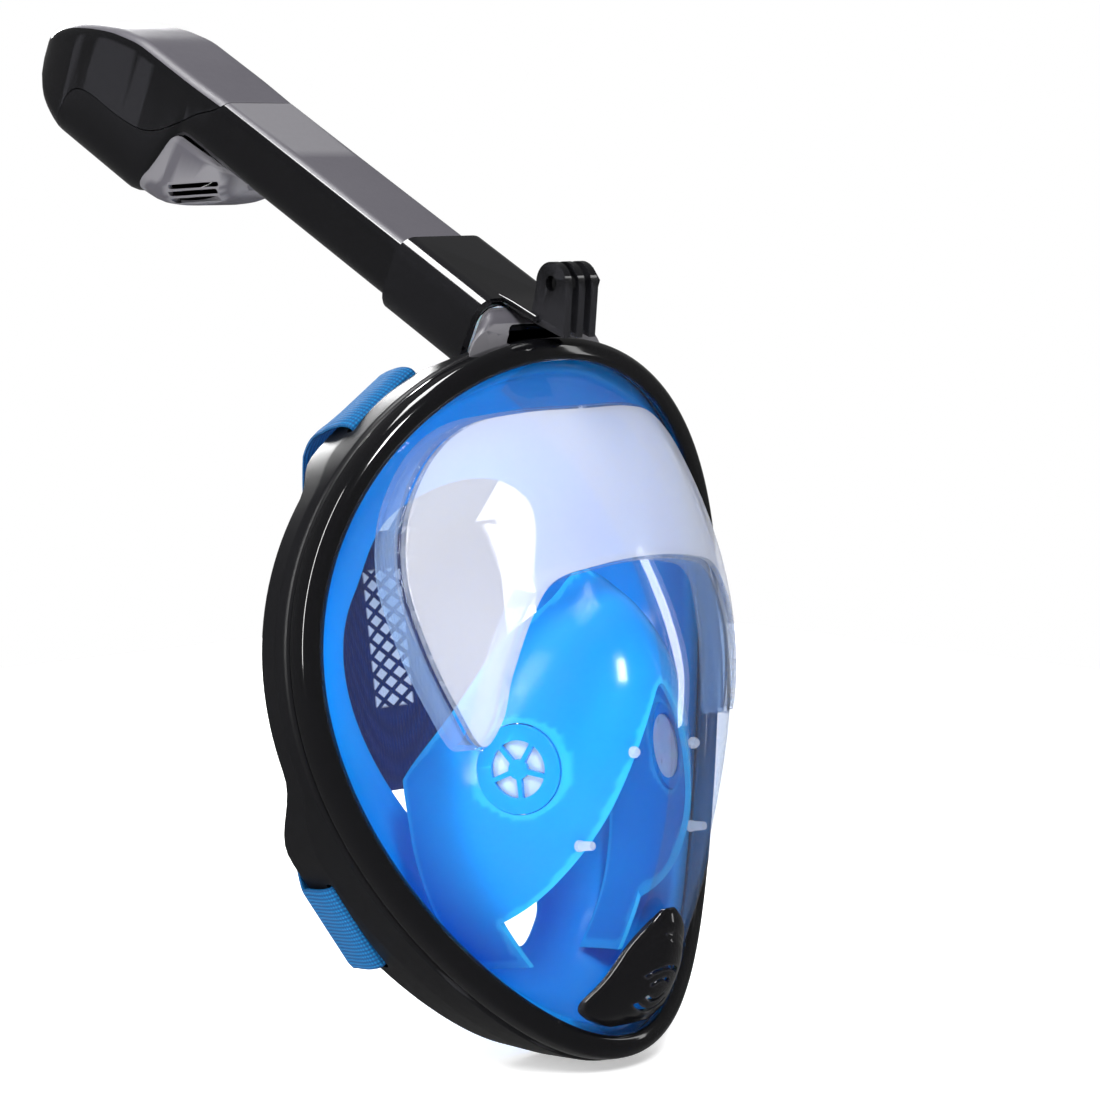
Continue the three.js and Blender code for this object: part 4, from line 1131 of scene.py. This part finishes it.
# ---- Floor, light and camera ----
def studio():
    """A plain white floor that runs out of sight."""
    floor_z = size_before[0][2] - 0.002
    reach = 0.9 / MM
    points = [(x, y, 0) for y in (-reach, reach) for x in (-reach, reach)]
    floor = new_object("studio_floor", points, [(0, 1, 3, 2)], Matrix.Translation((0, 0, floor_z)))
    paint = Paint("studio_white", Roughness=0.6, Specular_IOR_Level=0, Emission_Color=(1, 1, 1),
                  Emission_Strength=0.45)
    paint.colour(paint.mix(paint.noise(3, 2), (0.93, 0.93, 0.935), (0.95, 0.95, 0.955)))
    floor.data.materials.append(paint.material)
    floor.visible_glossy = False


def area_light(name, place, target, size, power):
    data = bpy.data.lights.new(name, "AREA")
    data.shape = "RECTANGLE"
    data.size = size[0]
    data.size_y = size[1]
    data.energy = power
    lamp = bpy.data.objects.new(name, data)
    lamp.location = place
    lamp.visible_camera = False
    lamp.rotation_mode = "QUATERNION"
    lamp.rotation_quaternion = (Vector(target) - Vector(place)).to_track_quat("-Z", "Y")
    bpy.context.scene.collection.objects.link(lamp)


def lights():
    """Soft boxes round the object; the camera sees a white surround that lights it only a little."""
    world = bpy.data.worlds.new("studio")
    world.use_nodes = True
    tree = world.node_tree
    surround = tree.nodes["Background"]
    surround.inputs["Color"].default_value = (1, 1, 1, 1)
    surround.inputs["Strength"].default_value = 0.13
    seen = tree.nodes.new("ShaderNodeBackground")
    seen.inputs["Color"].default_value = (1, 1, 1, 1)
    seen.inputs["Strength"].default_value = 1.0
    path = tree.nodes.new("ShaderNodeLightPath")
    both = tree.nodes.new("ShaderNodeMixShader")
    tree.links.new(path.outputs["Is Camera Ray"], both.inputs["Fac"])
    tree.links.new(surround.outputs["Background"], both.inputs[1])
    tree.links.new(seen.outputs["Background"], both.inputs[2])
    tree.links.new(both.outputs["Shader"], tree.nodes["World Output"].inputs["Surface"])
    bpy.context.scene.world = world
    area_light("key", (-0.9, -1.5, 1.25), (0, 0, 0.05), (0.36, 0.6), 40)
    area_light("fill", (1.35, -1.2, 0.45), (0, 0, 0), (0.14, 1.1), 2)
    area_light("side", (-1.7, 0.25, 0.5), (0, 0, 0), (0.2, 1.5), 24)
    area_light("top", (-0.35, 0.25, 1.7), (0, 0, 0.1), (1.1, 0.6), 38)
    area_light("rear", (0.7, 1.7, 0.8), (0, 0, 0), (0.8, 0.6), 30)


def photo_camera():
    """The photograph's viewing angle; beside and above say where the picture's middle lies from
    the mask's, in widths of the picture."""
    azimuth = -43.9 * DEG
    height = 8.6 * DEG
    distance = 1.3
    beside = -0.03509
    above = 0.13391
    back = Vector((math.sin(azimuth) * math.cos(height), -math.cos(azimuth) * math.cos(height),
                   math.sin(height)))
    right = Vector((math.cos(azimuth), math.sin(azimuth), 0))
    up = back.cross(right)
    data = bpy.data.cameras.new("photo_camera")
    data.sensor_width = 36
    data.lens = 121.47
    data.clip_start = 0.05
    data.clip_end = 50
    camera = bpy.data.objects.new("photo_camera", data)
    aim = (right * beside + up * above) * data.sensor_width / data.lens - back
    camera.location = MASK.translation + back * distance
    side = aim.cross(up).normalized()
    turned = Matrix((side, side.cross(aim).normalized(), -aim.normalized())).transposed()
    camera.rotation_mode = "QUATERNION"
    camera.rotation_quaternion = turned.to_quaternion()
    bpy.context.scene.collection.objects.link(camera)
    bpy.context.scene.camera = camera


# ---- Assembly ----
def build():
    black = gloss_black()
    satin = satin_black()
    grey = satin_grey()
    silicone = blue_silicone()
    clear = clear_plastic("clear_lens", 0.01)
    # The eye window's white haze is painted reflection.
    painted_reflection = clear_plastic("window_painted_reflection", 0.32)
    pale = clear_plastic("pale_silicone", 0.22, (0.80, 0.90, 1.0), (0.75, 0.88, 1.0))
    pins = clear_plastic("clear_pin", 0.5)
    rubber = valve_rubber()
    webbing = blue_webbing()
    make_lens(clear, painted_reflection)
    make_window_rib(clear)
    make_front_rim(black)
    make_rear_frame(satin)
    make_socket(grey)
    make_tube(black, grey)
    make_cap(grey, black)
    make_grille(grey)
    make_clip(black)
    make_skirt(silicone)
    make_eye_seal(pale)
    make_pocket(silicone)
    make_valves(silicone, rubber, pins, satin)
    make_purge_cover(black)
    make_straps(webbing)
    make_pad(mesh_panel())
    repaint("neck_gasket", rubber)
    repaint("tube_divider", satin)
    repaint("valve_plate", satin)
    repaint("float", float_foam())
    repaint("float_seal", silicone)


build()
studio()
lights()
photo_camera()
bpy.context.scene.view_settings.view_transform = "Standard"
